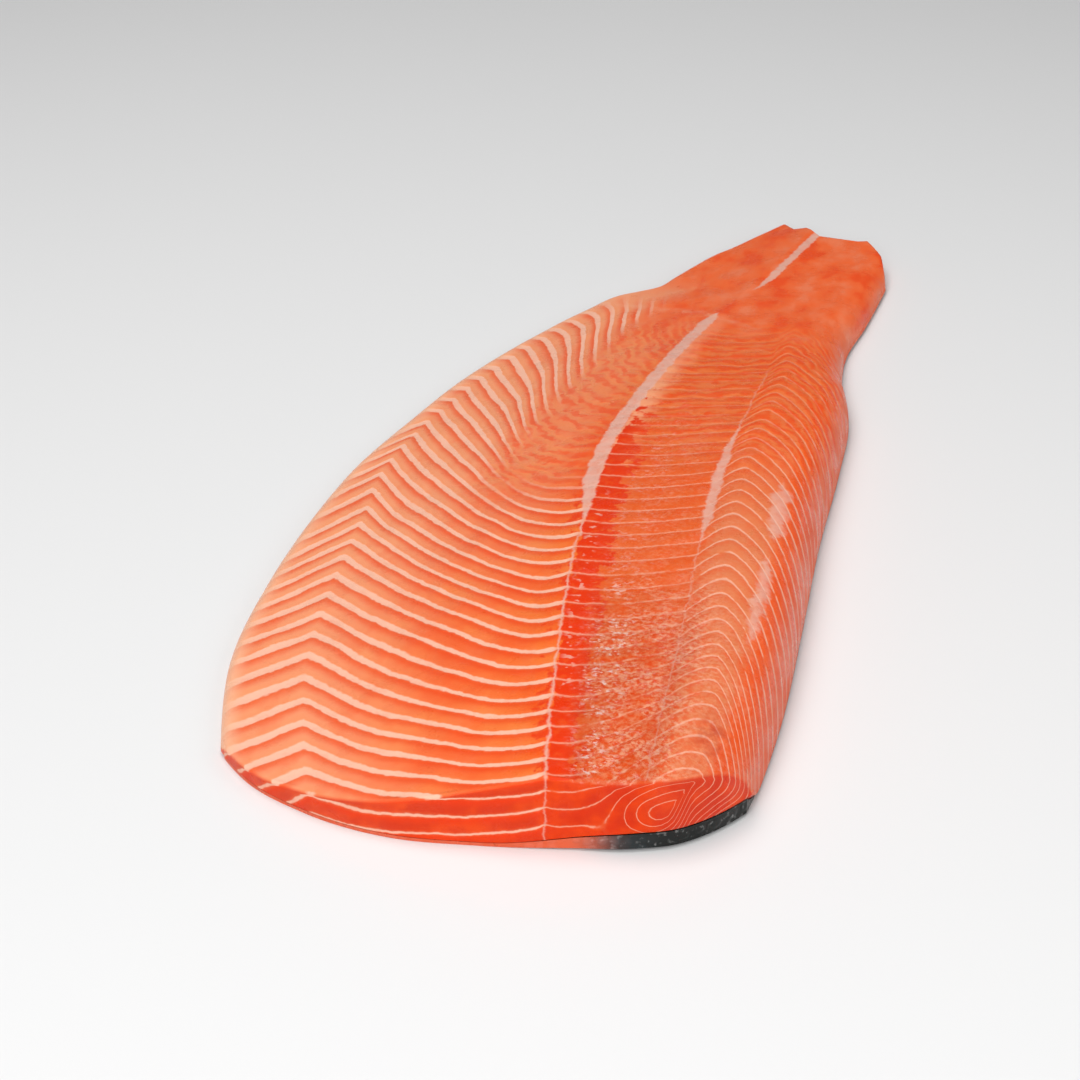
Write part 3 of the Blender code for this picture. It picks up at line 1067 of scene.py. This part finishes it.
        height = n.math("MULTIPLY", core, -0.12)
        height = n.math("ADD", height, n.math("MULTIPLY", fibres, 0.12))
        height = n.math("ADD", height, n.math("MULTIPLY", film.outputs["Height"], 0.10))
        furrows = n.math("MULTIPLY", n.math("MULTIPLY", fine.outputs["Core"], ripple), -0.25)
        height = n.math("ADD", height, furrows)
        shreds = n.noise(n.stretch(flow, (1.0, 0.30, 1.0)), 300.0, 4.0, 0.60)
        height = n.math("ADD", height, n.math("MULTIPLY", n.math("MULTIPLY", torn, shreds), 0.6))
        n.feed(shader.inputs["Normal"], n.bump(height, 0.8, 0.0006))
        return made

    def _ground(
        self, n: Nodes, place: object, medium: object, side: object, deep: object, tail: object, cut: object
    ) -> bpy.types.NodeSocket:
        """Mixes the colour of the muscle between the lines.

        Args:
            n: the node builder.
            place: object coordinates.
            medium: a noise of about 7 mm.
            side: -1 at the belly edge to 1 at the back edge.
            deep: how much of the deep red along the midline.
            tail: how near the tail.
            cut: how much of the cut face.

        Returns:
            The colour.
        """
        slow = n.noise(place, 30.0, 3.0, 0.55)
        _, _, fade = n.numbers("third")
        colour = n.mix(n.ramp(slow, 0.40, 0.75), self.orange, self.light_orange)
        colour = n.mix(n.math("MULTIPLY", fade, 0.80), colour, self.far_pale)
        ragged_side = n.math("ADD", side, n.math("MULTIPLY", n.math("SUBTRACT", medium, 0.5), 0.10))
        colour = n.mix(n.ramp(ragged_side, 0.02, 0.14), colour, self.back_orange)
        loin = n.mix(fade, self.loin_orange, self.far_orange)
        colour = n.mix(n.ramp(ragged_side, 0.50, 0.64), colour, loin)
        colour = n.mix(n.ramp(ragged_side, 0.80, 0.90), colour, self.flank_orange)
        colour = n.mix(tail, colour, self.tail_orange)
        mottle = n.noise(n.stretch(place, (1.0, 0.60, 1.0)), 80.0, 3.0, 0.55)
        share = n.math("ADD", 0.22, n.math("MULTIPLY", tail, 0.60))
        colour = n.mix(n.math("MULTIPLY", n.ramp(mottle, 0.50, 0.66), share), colour, self.tail_dark)
        colour = n.mix(
            n.math("MULTIPLY", n.ramp(mottle, 0.52, 0.28), n.math("MULTIPLY", share, 0.6)),
            colour, self.tail_pale,
        )
        torn_edge = n.math("MULTIPLY", n.math("SUBTRACT", n.noise(place, 130.0, 5.0, 0.72), 0.5), 2.6)
        red = n.ramp(n.math("ADD", deep, torn_edge), 0.34, 0.50)
        colour = n.mix(n.math("MULTIPLY", red, n.ramp(deep, 0.02, 0.20)), colour, self.deep_red)
        lit = n.math(
            "MULTIPLY", n.ramp(n.noise(place, 240.0, 3.0, 0.6), 0.50, 0.68), n.math("MULTIPLY", deep, 0.45)
        )
        colour = n.mix(lit, colour, self.deep_orange)
        cut_tone = n.mix(n.ramp(n.noise(place, 70.0, 3.0, 0.6), 0.30, 0.58), self.cut_orange, self.cut_red)
        return n.mix(n.math("MULTIPLY", cut, 0.92), colour, cut_tone)

    def _tear(
        self, n: Nodes, place: object, flow: object, torn: object, side: object, colour: object
    ) -> bpy.types.NodeSocket:
        """Lays the pale shreds and red gaps of the torn upper face on the colour; the pale shreds are partly
        painted sheen, and painted white glints go on top.

        Args:
            n: the node builder.
            place: object coordinates.
            flow: the map that follows the lines.
            torn: how torn the face is.
            side: -1 at the belly edge to 1 at the back edge.
            colour: the colour so far.

        Returns:
            The colour with the shreds, the painted sheen and the painted glints.
        """
        shreds = n.noise(n.stretch(flow, (0.55, 1.0, 1.0)), 400.0, 3.0, 0.62)
        specks = n.noise(place, 640.0, 2.0, 0.60)
        patches = n.ramp(n.noise(place, 110.0, 3.0, 0.6), 0.40, 0.58)
        blend = n.math("ADD", n.math("MULTIPLY", shreds, 0.6), n.math("MULTIPLY", specks, 0.4))
        gaps = n.math("MULTIPLY", n.ramp(blend, 0.505, 0.455), n.math("MULTIPLY", torn, 0.85))
        colour = n.mix(gaps, colour, self.torn_red)
        # The pale shreds: partly real pale flesh, partly painted sheen on the wet torn face.
        share = n.math(
            "MULTIPLY", n.ramp(blend, 0.495, 0.550),
            n.math("ADD", 0.28, n.math("MULTIPLY", patches, 0.60)),
        )
        colour = n.mix(n.math("MULTIPLY", share, torn, clamp=True), colour, self.torn_pale_and_sheen)
        # Painted highlight: near-white glints mixed into the colour of the torn face, strongest beside the
        # midline.
        sparks = n.noise(n.stretch(place, (0.8, 1.3, 1.0)), 520.0, 4.0, 0.70)
        glint = n.math("MULTIPLY", n.ramp(sparks, 0.545, 0.590), n.math("MULTIPLY", patches, torn))
        near_line = n.math("ADD", 0.18, n.math("MULTIPLY", n.ramp(side, 0.42, 0.16), 0.80))
        return n.mix(n.math("MULTIPLY", glint, near_line, clamp=True), colour, self.painted_glint_white)

    def _bands(self, n: Nodes, effects: Effects, place: object, colour: object) -> bpy.types.NodeSocket:
        """Lays the pale bands of membrane and the small marks on the colour.

        Args:
            n: the node builder.
            effects: the shared node groups.
            place: object coordinates.
            colour: the colour so far.

        Returns:
            The colour with the bands.
        """
        from_middle, middle_half, spots = n.numbers("middle")
        from_second, second_half, bruised = n.numbers("second")
        from_third, third_half, _ = n.numbers("third")
        middle = n.group(
            effects.band, Vector=place, Distance=from_middle, Half_Width=middle_half,
            Raggedness=3.0, Softness=0.6,
        )
        second = n.group(
            effects.band, Vector=place, Distance=from_second, Half_Width=second_half,
            Raggedness=3.4, Softness=0.6,
        )
        third = n.group(
            effects.band, Vector=place, Distance=from_third, Half_Width=third_half,
            Raggedness=7.0, Softness=1.4,
        )
        veins = n.ramp(n.noise(place, 260.0, 3.0, 0.6), 0.25, 0.60)
        kept = n.math("ADD", 0.62, n.math("MULTIPLY", veins, 0.30))
        colour = n.mix(n.math("MULTIPLY", middle.outputs["Mask"], kept), colour, self.band_pale)
        colour = n.mix(
            n.math("MULTIPLY", second.outputs["Mask"], n.math("MULTIPLY", kept, 0.85)),
            colour, self.band_pale,
        )
        colour = n.mix(
            n.math("MULTIPLY", third.outputs["Mask"], n.math("MULTIPLY", kept, 0.70)),
            colour, self.band_pale,
        )
        dots = n.ramp(n.noise(place, 330.0, 1.0, 0.5), 0.60, 0.68)
        colour = n.mix(n.math("MULTIPLY", n.math("MULTIPLY", spots, dots), 0.7), colour, self.band_pale)
        return n.mix(
            n.math("MULTIPLY", bruised, n.ramp(n.noise(place, 170.0, 3.0, 0.6), 0.35, 0.6)),
            colour, self.bruise,
        )


@dataclass(frozen=True)
class SkinFinish:
    """The look of the scaled skin, dark along the back and silver along the belly."""

    back_dark: Colour = (0.008, 0.010, 0.009)
    back_blue: Colour = (0.040, 0.050, 0.054)
    belly_silver: Colour = (0.55, 0.56, 0.55)
    spot: Colour = (0.003, 0.004, 0.004)
    edge_pale: Colour = (0.84, 0.120, 0.030)
    coat_roughness: float = 0.08
    specular_level: float = 0.22

    def build(self, effects: Effects) -> bpy.types.Material:
        """Builds the material.

        Args:
            effects: the shared node groups.

        Returns:
            The material.
        """
        made = bpy.data.materials.new("salmon_skin_wet")
        made.use_nodes = True
        tree = made.node_tree
        shader = tree.nodes["Principled BSDF"]
        n = Nodes(tree)
        place = n.add("TexCoord").outputs["Object"]
        side, to_line, edge = n.numbers("flank")
        scales = n.add("TexVoronoi", feature="F1")
        n.feed(scales.inputs["Vector"], n.stretch(place, (1.0, 0.72, 1.0)))
        scales.inputs["Scale"].default_value = 260.0
        scales.inputs["Randomness"].default_value = 0.35
        rims = n.ramp(scales.outputs["Distance"], 0.30, 0.62)
        patchy = n.math("MULTIPLY", n.math("SUBTRACT", n.noise(place, 60.0, 3.0, 0.6), 0.5), 0.35)
        to_back = n.ramp(n.math("ADD", side, patchy), -0.10, 0.42)
        colour = n.mix(to_back, self.belly_silver, self.back_blue)
        colour = n.mix(n.ramp(n.math("ADD", side, patchy), 0.30, 0.75), colour, self.back_dark)
        glint = n.math("MULTIPLY", n.ramp(n.noise(place, 500.0, 2.0, 0.5), 0.55, 0.72), 0.35)
        colour = n.mix(glint, colour, self.belly_silver)
        colour = n.mix(n.math("MULTIPLY", rims, 0.45), colour, self.back_dark)
        spots = n.add("TexVoronoi", feature="F1")
        n.feed(spots.inputs["Vector"], place)
        spots.inputs["Scale"].default_value = 55.0
        dots = n.ramp(spots.outputs["Distance"], 0.26, 0.17)
        dots = n.math("MULTIPLY", dots, n.ramp(side, 0.10, 0.30))
        colour = n.mix(dots, colour, self.spot)
        line = n.math("MULTIPLY", n.ramp(n.math("ABSOLUTE", to_line), 0.9, 0.4), 0.5)
        colour = n.mix(line, colour, self.back_dark)
        colour = n.mix(n.math("MULTIPLY", edge, 0.9), colour, self.edge_pale)
        n.feed(shader.inputs["Base Color"], colour)
        film = n.group(effects.wetness, Vector=place, Dry_Roughness=0.42, Wet_Roughness=0.24)
        n.feed(shader.inputs["Roughness"], film.outputs["Roughness"])
        n.feed(shader.inputs["Coat Weight"], film.outputs["Coat"])
        shader.inputs["Coat Roughness"].default_value = self.coat_roughness
        shader.inputs["Specular IOR Level"].default_value = self.specular_level
        n.feed(shader.inputs["Metallic"], n.math("MULTIPLY", n.ramp(side, 0.5, -0.3), 0.35))
        height = n.math("MULTIPLY", rims, -1.0)
        n.feed(shader.inputs["Normal"], n.bump(height, 0.6, 0.0004))
        return made


@dataclass(frozen=True)
class ValueNoise:
    """Smooth lumps over the plan, the same on every run."""

    cell: float
    seed: int
    side: int = 256

    def at(self, x: Array, y: Array) -> Array:
        """Gives the height of the lumps.

        Args:
            x: places across the fish.
            y: places along the fish.

        Returns:
            Numbers from -1 to 1.
        """
        lattice = np.random.default_rng(self.seed).uniform(-1.0, 1.0, (self.side, self.side))
        u, v = x / self.cell + self.side / 2, y / self.cell + self.side / 2
        i, j = np.floor(u).astype(int), np.floor(v).astype(int)
        s, t = smooth_step(u - i, 0.0, 1.0), smooth_step(v - j, 0.0, 1.0)
        i, j = i % (self.side - 1), j % (self.side - 1)
        near = lattice[i, j] * (1 - s) + lattice[i + 1, j] * s
        far = lattice[i, j + 1] * (1 - s) + lattice[i + 1, j + 1] * s
        return near * (1 - t) + far * t


@dataclass
class Flesh:
    """The thick piece of flesh, with its upper face, its cut ends and its rounded flank."""

    form: FilletForm
    lines: MuscleLines
    finish: FleshFinish = field(default_factory=FleshFinish)
    columns: int = 156
    rows: int = 360
    wall_rings: int = 15
    under_rings: int = 2
    edge_rings: int = 3
    edge_round: float = 1.1 * MM
    groove_depth: float = 0.18 * MM
    torn_depth: float = 0.22 * MM
    lump_depth: float = 0.25 * MM
    smooth_under: float = math.radians(60)

    def build(self, effects: Effects) -> bpy.types.Object:
        """Builds and dresses the flesh.

        Args:
            effects: the shared node groups.

        Returns:
            The finished object.
        """
        grid = SheetGrid("flesh_body", self.columns, self.rows, self.wall_rings + self.under_rings)
        piece = grid.build()
        self._shape(piece)
        self._store(piece)
        finish_piece(piece, self.smooth_under)
        piece.data.materials.append(self.finish.build(effects))
        return piece

    def _shape(self, piece: bpy.types.Object) -> None:
        """Moves the points of the grid and its rings onto the form.

        Args:
            piece: the grid object.
        """
        form = self.form
        across, along, ring = (read_numbers(piece, name) for name in ("across", "along", "ring"))
        inward = np.maximum(ring - self.wall_rings, 0.0) / self.under_rings
        across_in = 0.5 + (across - 0.5) * (1.0 - 0.16 * inward)
        along_in = 0.5 + (along - 0.5) * (1.0 - 0.08 * inward)
        x, y = form.place(along_in, across_in, 0.0)
        top, bottom = form.upper_face(x, y), form.underside(x, y)
        inner = (across > 1e-6) & (across < 1 - 1e-6) & (along > 1e-6) & (along < 1 - 1e-6)
        radius = np.minimum(self.edge_round, 0.35 * (top - bottom))
        turn = np.clip(ring / self.edge_rings, 0.0, 1.0) * np.pi / 2
        push = np.where(inner | (inward > 0.0), 0.0, radius * (1.0 - np.sin(turn)))
        down = np.clip((ring - self.edge_rings) / (self.wall_rings - self.edge_rings), 0.0, 1.0)
        shoulder = top - radius * (1.0 - np.cos(turn))
        z = np.where(inner, top - self._relief(x, y), shoulder + (bottom - shoulder) * down)
        y = y + push * ((along <= 1e-6) * 1.0 - (along >= 1 - 1e-6))
        x = x + push * ((across <= 1e-6) * 1.0 - (across >= 1 - 1e-6))
        write_points(piece, np.stack([x, y, z], axis=-1))

    def _relief(self, x: Array, y: Array) -> Array:
        """Gives how far the upper face is sunk along the lines and in the torn part.

        Args:
            x: places across the fish.
            y: places along the fish.

        Returns:
            The depth of the relief in metres.
        """
        count = self.lines.count(self.lines.start(x, y, np.zeros_like(x)))
        near = np.abs(count - np.round(count)) * 2.0
        groove = 1.0 - smooth_step(near, 0.0, 0.75)
        side = self.form.side(x, y)
        edges = smooth_step(1.0 - np.abs(side), 0.0, 0.06)
        ahead = 1.0 - smooth_step(y, 0.06, 0.16)
        lumps = ValueNoise(0.009, 3).at(x, y * 0.6) * self.lump_depth
        torn = (ValueNoise(0.0045, 5).at(x, y) + 0.6 * ValueNoise(0.0022, 8).at(x, y)) * self.torn_depth
        return (self.groove_depth * groove * ahead + torn * self._torn(side, y) + lumps) * edges

    def _torn(self, side: Array, y: Array) -> Array:
        """Gives how torn the upper face is, most of all beside the midline near the cut.

        Args:
            side: the share of the way to an edge.
            y: places along the fish.

        Returns:
            0 where smooth, 1 where torn.
        """
        beside = smooth_step(side, 0.06, 0.20) * (1.0 - 0.65 * smooth_step(side, 0.56, 0.72))
        beside = beside * (1.0 - 0.5 * smooth_step(side, 0.84, 0.95))
        return beside * (1.0 - 0.75 * smooth_step(y, -0.190, -0.110)) * (1.0 - smooth_step(y, -0.04, 0.06))

    def _store(self, piece: bpy.types.Object) -> None:
        """Stores the numbers that the finish reads, and the map that follows the lines.

        Args:
            piece: the shaped object.
        """
        form, lines = self.form, self.lines
        ring, along = read_numbers(piece, "ring"), read_numbers(piece, "along")
        x, y, z = read_points(piece).T
        depth = np.where(ring <= self.edge_rings, 0.0, np.maximum(form.upper_face(x, y) - z, 0.0))
        side = form.side(x, y)
        count = lines.count(lines.start(x, y, depth))
        cut = smooth_step(ring, 0.5, 3.5) * (along < 1e-6)
        self._store_lines(piece, count, side, y, cut)
        self._store_bands(piece, x, y, side, cut)
        self._store_tones(piece, x, y, side, cut)
        self._map_flow(piece, x, y, depth, count)

    def _store_lines(self, piece: bpy.types.Object, count: Array, side: Array, y: Array, cut: Array) -> None:
        """Stores the count of the lines, how wide they are and how strongly they show.

        Args:
            piece: the shaped object.
            count: the line count.
            side: the share of the way to an edge.
            y: places along the fish.
            cut: how much of the cut face.
        """
        belly = smooth_step(-side, -0.008, 0.015)
        edge_of_lines = 0.40 + 0.10 * smooth_step(y, 0.05, 0.12)
        bundle = smooth_step(-side, edge_of_lines - 0.06, edge_of_lines + 0.08)
        past = smooth_step(y, -0.085, -0.040)
        belly_strength = (1.0 - past * (1.0 - bundle)) * (1.0 - smooth_step(y, 0.125, 0.160))
        beyond_second = smooth_step(side, 0.50, 0.58)
        beyond_third = smooth_step(side, 0.80, 0.90)
        back_strength = 0.52 + 0.28 * beyond_second
        back_strength = back_strength * (1.0 - 0.55 * smooth_step(y, -0.06, 0.04))
        back_strength = back_strength * (1.0 - smooth_step(y, 0.06, 0.13))
        strength = belly * belly_strength + (1.0 - belly) * back_strength
        belly_half = 0.105 + 0.055 * smooth_step(-side, 0.25, 0.80) + 0.04 * np.exp(side / 0.03) * (side < 0)
        back_half = 0.050 + 0.015 * beyond_second + 0.02 * beyond_third
        half = belly * belly_half + (1.0 - belly) * back_half
        half = half * (1.0 - 0.50 * cut)
        strength = strength + (np.maximum(strength, 0.80) - strength) * cut
        write_numbers(piece, "muscle", count, half, strength)

    def _store_bands(self, piece: bpy.types.Object, x: Array, y: Array, side: Array, cut: Array) -> None:
        """Stores the distances in millimetres from the three pale bands, and their half widths.

        Args:
            piece: the shaped object.
            x: places across the fish.
            y: places along the fish.
            side: the share of the way to an edge.
            cut: how much of the cut face.
        """
        form, lines = self.form, self.lines
        middle = form.midline.at(y)
        width = form.back_edge.at(y) - middle
        from_middle = (x - middle) / MM
        thin = 0.35 * (1.0 - smooth_step(y, -0.090, -0.070))
        wide = 3.0 * smooth_step(y, -0.095, -0.060) * (1.0 - smooth_step(y, 0.120, 0.136))
        tail_band = 2.0 * smooth_step(y, 0.160, 0.185)
        gap = 2.4 * smooth_step(y, 0.128, 0.140) * (1.0 - smooth_step(y, 0.155, 0.168))
        middle_half = (thin + wide + tail_band - gap) * (1 - cut) + 0.1 * cut
        shift = -2.6 * smooth_step(y, -0.090, -0.050) * (1.0 - smooth_step(y, 0.12, 0.15))
        shift = shift + 5.0 * smooth_step(y, 0.15, 0.18)
        spots = np.exp(-(((from_middle - 4.5) / 2.2) ** 2)) * (1.0 - smooth_step(y, -0.080, -0.060))
        spots = spots * smooth_step(y, -0.220, -0.200) * (1.0 - cut)
        write_numbers(piece, "middle", from_middle - shift, middle_half, spots)

        from_second = (x - middle - width * lines.second_line) / MM
        second_half = 0.05 + 1.9 * smooth_step(y, -0.105, -0.075) * (1.0 - smooth_step(y, -0.040, 0.010))
        second_half = second_half - 1.2 * smooth_step(y, 0.055, 0.085)
        bruised = np.exp(-(((side - 0.80) / 0.07) ** 2) - ((y + 0.218) / 0.010) ** 2) * (1.0 - cut)
        write_numbers(piece, "second", from_second, second_half * (1 - cut) - 2.4 * cut, bruised * 0.75)

        from_third = (x - middle - width * lines.third_line) / MM
        near = smooth_step(y, -0.100, -0.080) * (1.0 - smooth_step(y, -0.058, -0.035))
        far = smooth_step(y, -0.175, -0.150) * (1.0 - smooth_step(y, -0.115, -0.095))
        third_half = -2.5 + 5.5 * near + 4.6 * far
        ahead = smooth_step(y, -0.200, -0.020)
        belly_fade = np.clip(0.15 + 0.75 * smooth_step(-side, 0.25, 0.80) + 0.45 * ahead, 0.0, 1.0)
        fade = np.where(side < 0.0, belly_fade * smooth_step(-side, 0.0, 0.25), smooth_step(y, -0.100, 0.000))
        write_numbers(piece, "third", from_third, third_half * (1 - cut) - 4.0 * cut, fade)

    def _store_tones(self, piece: bpy.types.Object, x: Array, y: Array, side: Array, cut: Array) -> None:
        """Stores the masks of the zones: red, tail, edge, torn, cut, ripples and crease.

        Args:
            piece: the shaped object.
            x: places across the fish.
            y: places along the fish.
            side: the share of the way to an edge.
            cut: how much of the cut face.
        """
        form = self.form
        from_middle = (x - form.midline.at(y)) / MM
        right = np.exp(-((np.maximum(from_middle - 3.0, 0.0) / 10.0) ** 2))
        right = right * smooth_step(from_middle, 0.0, 2.0)
        left = 0.35 * np.exp(-((from_middle / 7.0) ** 2))
        deep = np.maximum(right, left) * (1.0 - smooth_step(y, -0.060, 0.060))
        inside = np.maximum(smooth_step(side, -0.75, -0.40), smooth_step(y, 0.150, 0.185))
        tail = smooth_step(y, 0.055, 0.150) * inside
        write_numbers(piece, "zones", side, deep * (1 - cut), tail)

        from_belly = (x - form.belly_edge.at(y)) / MM
        edge = (1.0 - smooth_step(from_belly, 0.5, 9.0)) * (1.0 - smooth_step(y, 0.130, 0.190)) * (1.0 - cut)
        torn = self._torn(side, y) * (1.0 - cut)
        write_numbers(piece, "tone", edge, torn, cut)

        ripple = smooth_step(-side, 0.02, 0.10) * (1.0 - smooth_step(-side, 0.40, 0.52))
        ripple = ripple * smooth_step(y, -0.085, -0.040) * (1.0 - smooth_step(y, 0.100, 0.135))
        behind = smooth_step(side, 0.02, 0.10) * smooth_step(y, -0.060, 0.000)
        behind = behind * (1.0 - smooth_step(y, 0.080, 0.140))
        fold = np.interp(x, (-0.060, -0.045, -0.010, 0.000, 0.035), (0.146, 0.142, 0.134, 0.126, 0.108))
        crease = np.exp(-(((y - fold) / 0.0022) ** 2)) * smooth_step(x, -0.060, -0.045)
        crease = crease * (1.0 - smooth_step(x, 0.0, 0.030))
        belly = smooth_step(-side, -0.008, 0.015)
        write_numbers(piece, "tail_marks", np.maximum(ripple, behind), crease * 0.55, belly)

    def _map_flow(self, piece: bpy.types.Object, x: Array, y: Array, depth: Array, count: Array) -> None:
        """Makes the UV map whose first axis runs along a line and whose second crosses the lines.

        Args:
            piece: the shaped object.
            x: places across the fish.
            y: places along the fish.
            depth: depth below the upper face.
            count: the line count at each point.
        """
        layer = piece.data.uv_layers.new(name="muscle")
        corners = np.empty(len(piece.data.loops), np.int32)
        piece.data.loops.foreach_get("vertex_index", corners)
        flow = np.stack([x * 1.2 - y * 0.3, count * 0.01 + depth * 0.2], axis=-1)
        layer.data.foreach_set("uv", flow[corners].astype(np.float32).ravel())


@dataclass
class Skin:
    """The thin skin under the flesh, its edge rolled under at the thick corner, where its thickened dark edge
    also stands in for the shadow under the lifted corner (painted shadow).
    """

    form: FilletForm
    finish: SkinFinish = field(default_factory=SkinFinish)
    columns: int = 110
    rows: int = 230
    crowding: float = 1.4
    smooth_under: float = math.radians(60)

    def build(self, effects: Effects) -> bpy.types.Object:
        """Builds and dresses the skin.

        Args:
            effects: the shared node groups.

        Returns:
            The finished object.
        """
        piece = plan_grid("skin_sheet", self.columns, self.rows)
        self._thicken(piece)
        self._shape(piece)
        self._store(piece)
        finish_piece(piece, self.smooth_under)
        piece.data.materials.append(self.finish.build(effects))
        return piece

    def _thicken(self, piece: bpy.types.Object) -> None:
        """Gives the grid a second layer, which becomes the upper face.

        Args:
            piece: the grid object.
        """
        known = len(piece.data.vertices)
        thick = piece.modifiers.new("thickness", "SOLIDIFY")
        thick.thickness = self.form.skin_thickness
        select_only(piece)
        bpy.ops.object.modifier_apply(modifier=thick.name)
        layer = np.zeros(len(piece.data.vertices))
        layer[known:] = 1.0
        write_numbers(piece, "ring", layer)

    def _shape(self, piece: bpy.types.Object) -> None:
        """Moves the two layers onto the lower and the upper face of the skin; at the curl the lower face
        stays low, so a dark wedge of skin fills the shaded gap under the corner as painted shadow.

        Args:
            piece: the grid object.
        """
        form = self.form
        across, along, layer = (read_numbers(piece, name) for name in ("across", "along", "ring"))
        x, y = form.place(along**self.crowding, across, form.skin_setback)
        curl = form.curl(x, y)
        # The lower face rises only part of the curl: a dark wedge of skin, partly the rolled edge and partly
        # painted shadow in the gap under the lifted corner.
        z = curl * (1.0 - form.skin_roll_and_shadow_fill) * (1.0 - layer) + (curl + form.skin_thickness) * layer
        write_points(piece, np.stack([x, y, z], axis=-1))

    def _store(self, piece: bpy.types.Object) -> None:
        """Stores where each point lies between belly and back, and how near the cut edge.

        Args:
            piece: the shaped object.
        """
        x, y, _ = read_points(piece).T
        across, along = read_numbers(piece, "across"), read_numbers(piece, "along")
        side = self.form.side(x, y)
        to_line = (x - self.form.midline.at(y)) / MM
        inward = np.minimum(along, np.minimum(across, 1.0 - across))
        edge = (1.0 - smooth_step(inward, 0.010, 0.030)) * (1.0 - smooth_step(side, 0.10, 0.45))
        write_numbers(piece, "flank", side, to_line, edge)


@dataclass(frozen=True)
class Studio:
    """The pale floor, the soft lights and the camera."""

    eye: Colour = (0.2578, -0.8782, 0.481)
    look_down: float = math.radians(29.266)
    turn: float = math.radians(18.7)
    focal_pixels: float = 2550.0
    picture_pixels: float = 1080.0
    sensor: float = 36.0
    floor_size: float = 8.0

    def build(self) -> None:
        """Adds the floor, the lights and the camera."""
        self._floor()
        self._camera()
        self._light("overhead", (-0.22, -0.25, 1.60), 1.2, 19.0)
        self._light("front", (0.20, -1.50, 0.95), 0.9, 17.0)
        self._light("side", (1.40, -0.20, 0.80), 0.8, 5.0)
        self._light("sheen", (-0.24, 0.82, 0.70), 0.20, 0.22)
        bpy.context.scene.view_settings.view_transform = "Standard"
        world = bpy.data.worlds.new("studio")
        bpy.context.scene.world = world
        world.use_nodes = True
        world.node_tree.nodes["Background"].inputs["Color"].default_value = (1.0, 1.0, 1.0, 1.0)
        world.node_tree.nodes["Background"].inputs["Strength"].default_value = 0.11

    def _floor(self) -> None:
        """Adds the floor."""
        bpy.ops.object.select_all(action="DESELECT")
        bpy.ops.mesh.primitive_plane_add(size=self.floor_size, location=(0, 0, 0))
        floor = bpy.context.active_object
        floor.name = "studio_floor"
        paint = bpy.data.materials.new("pale_floor")
        paint.use_nodes = True
        shader = paint.node_tree.nodes["Principled BSDF"]
        shader.inputs["Base Color"].default_value = (0.78, 0.78, 0.78, 1.0)
        shader.inputs["Roughness"].default_value = 0.75
        floor.data.materials.append(paint)

    def _camera(self) -> None:
        """Adds the camera at the photograph's viewing angle."""
        data = bpy.data.cameras.new("view")
        data.sensor_width = self.sensor
        data.lens = self.focal_pixels * self.sensor / self.picture_pixels
        data.clip_start = 0.01
        camera = bpy.data.objects.new("view", data)
        camera.location = self.eye
        camera.rotation_euler = (math.pi / 2 - self.look_down, 0.0, self.turn)
        bpy.context.scene.collection.objects.link(camera)
        bpy.context.scene.camera = camera

    def _light(self, name: str, place: Colour, size: float, power: float) -> None:
        """Adds a soft square light that faces the fillet.

        Args:
            name: the light's name.
            place: where it hangs.
            size: its side in metres.
            power: its power in watts.
        """
        data = bpy.data.lights.new(name, "AREA")
        data.size = size
        data.energy = power
        lamp = bpy.data.objects.new(name, data)
        lamp.location = place
        away = np.array(place, float)
        lamp.rotation_euler = (
            math.atan2(math.hypot(away[0], away[1]), away[2]), 0.0, math.atan2(away[0], -away[1])
        )
        bpy.context.scene.collection.objects.link(lamp)


def dress(piece: bpy.types.Object, node: str) -> None:
    """Puts a finished piece in the place of its solid.

    Args:
        piece: the finished object.
        node: the solid's node.
    """
    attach(piece, "root")
    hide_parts(node)
    log.info("%s: %d faces", piece.name, len(piece.data.polygons))


def main() -> None:
    """Builds the pieces in order."""
    logging.basicConfig(level=logging.INFO, format="%(message)s")
    form = FilletForm()
    effects = Effects()
    Studio().build()
    dress(Flesh(form, MuscleLines(form)).build(effects), "flesh")
    dress(Skin(form).build(effects), "skin")


if __name__ == "__main__":
    main()
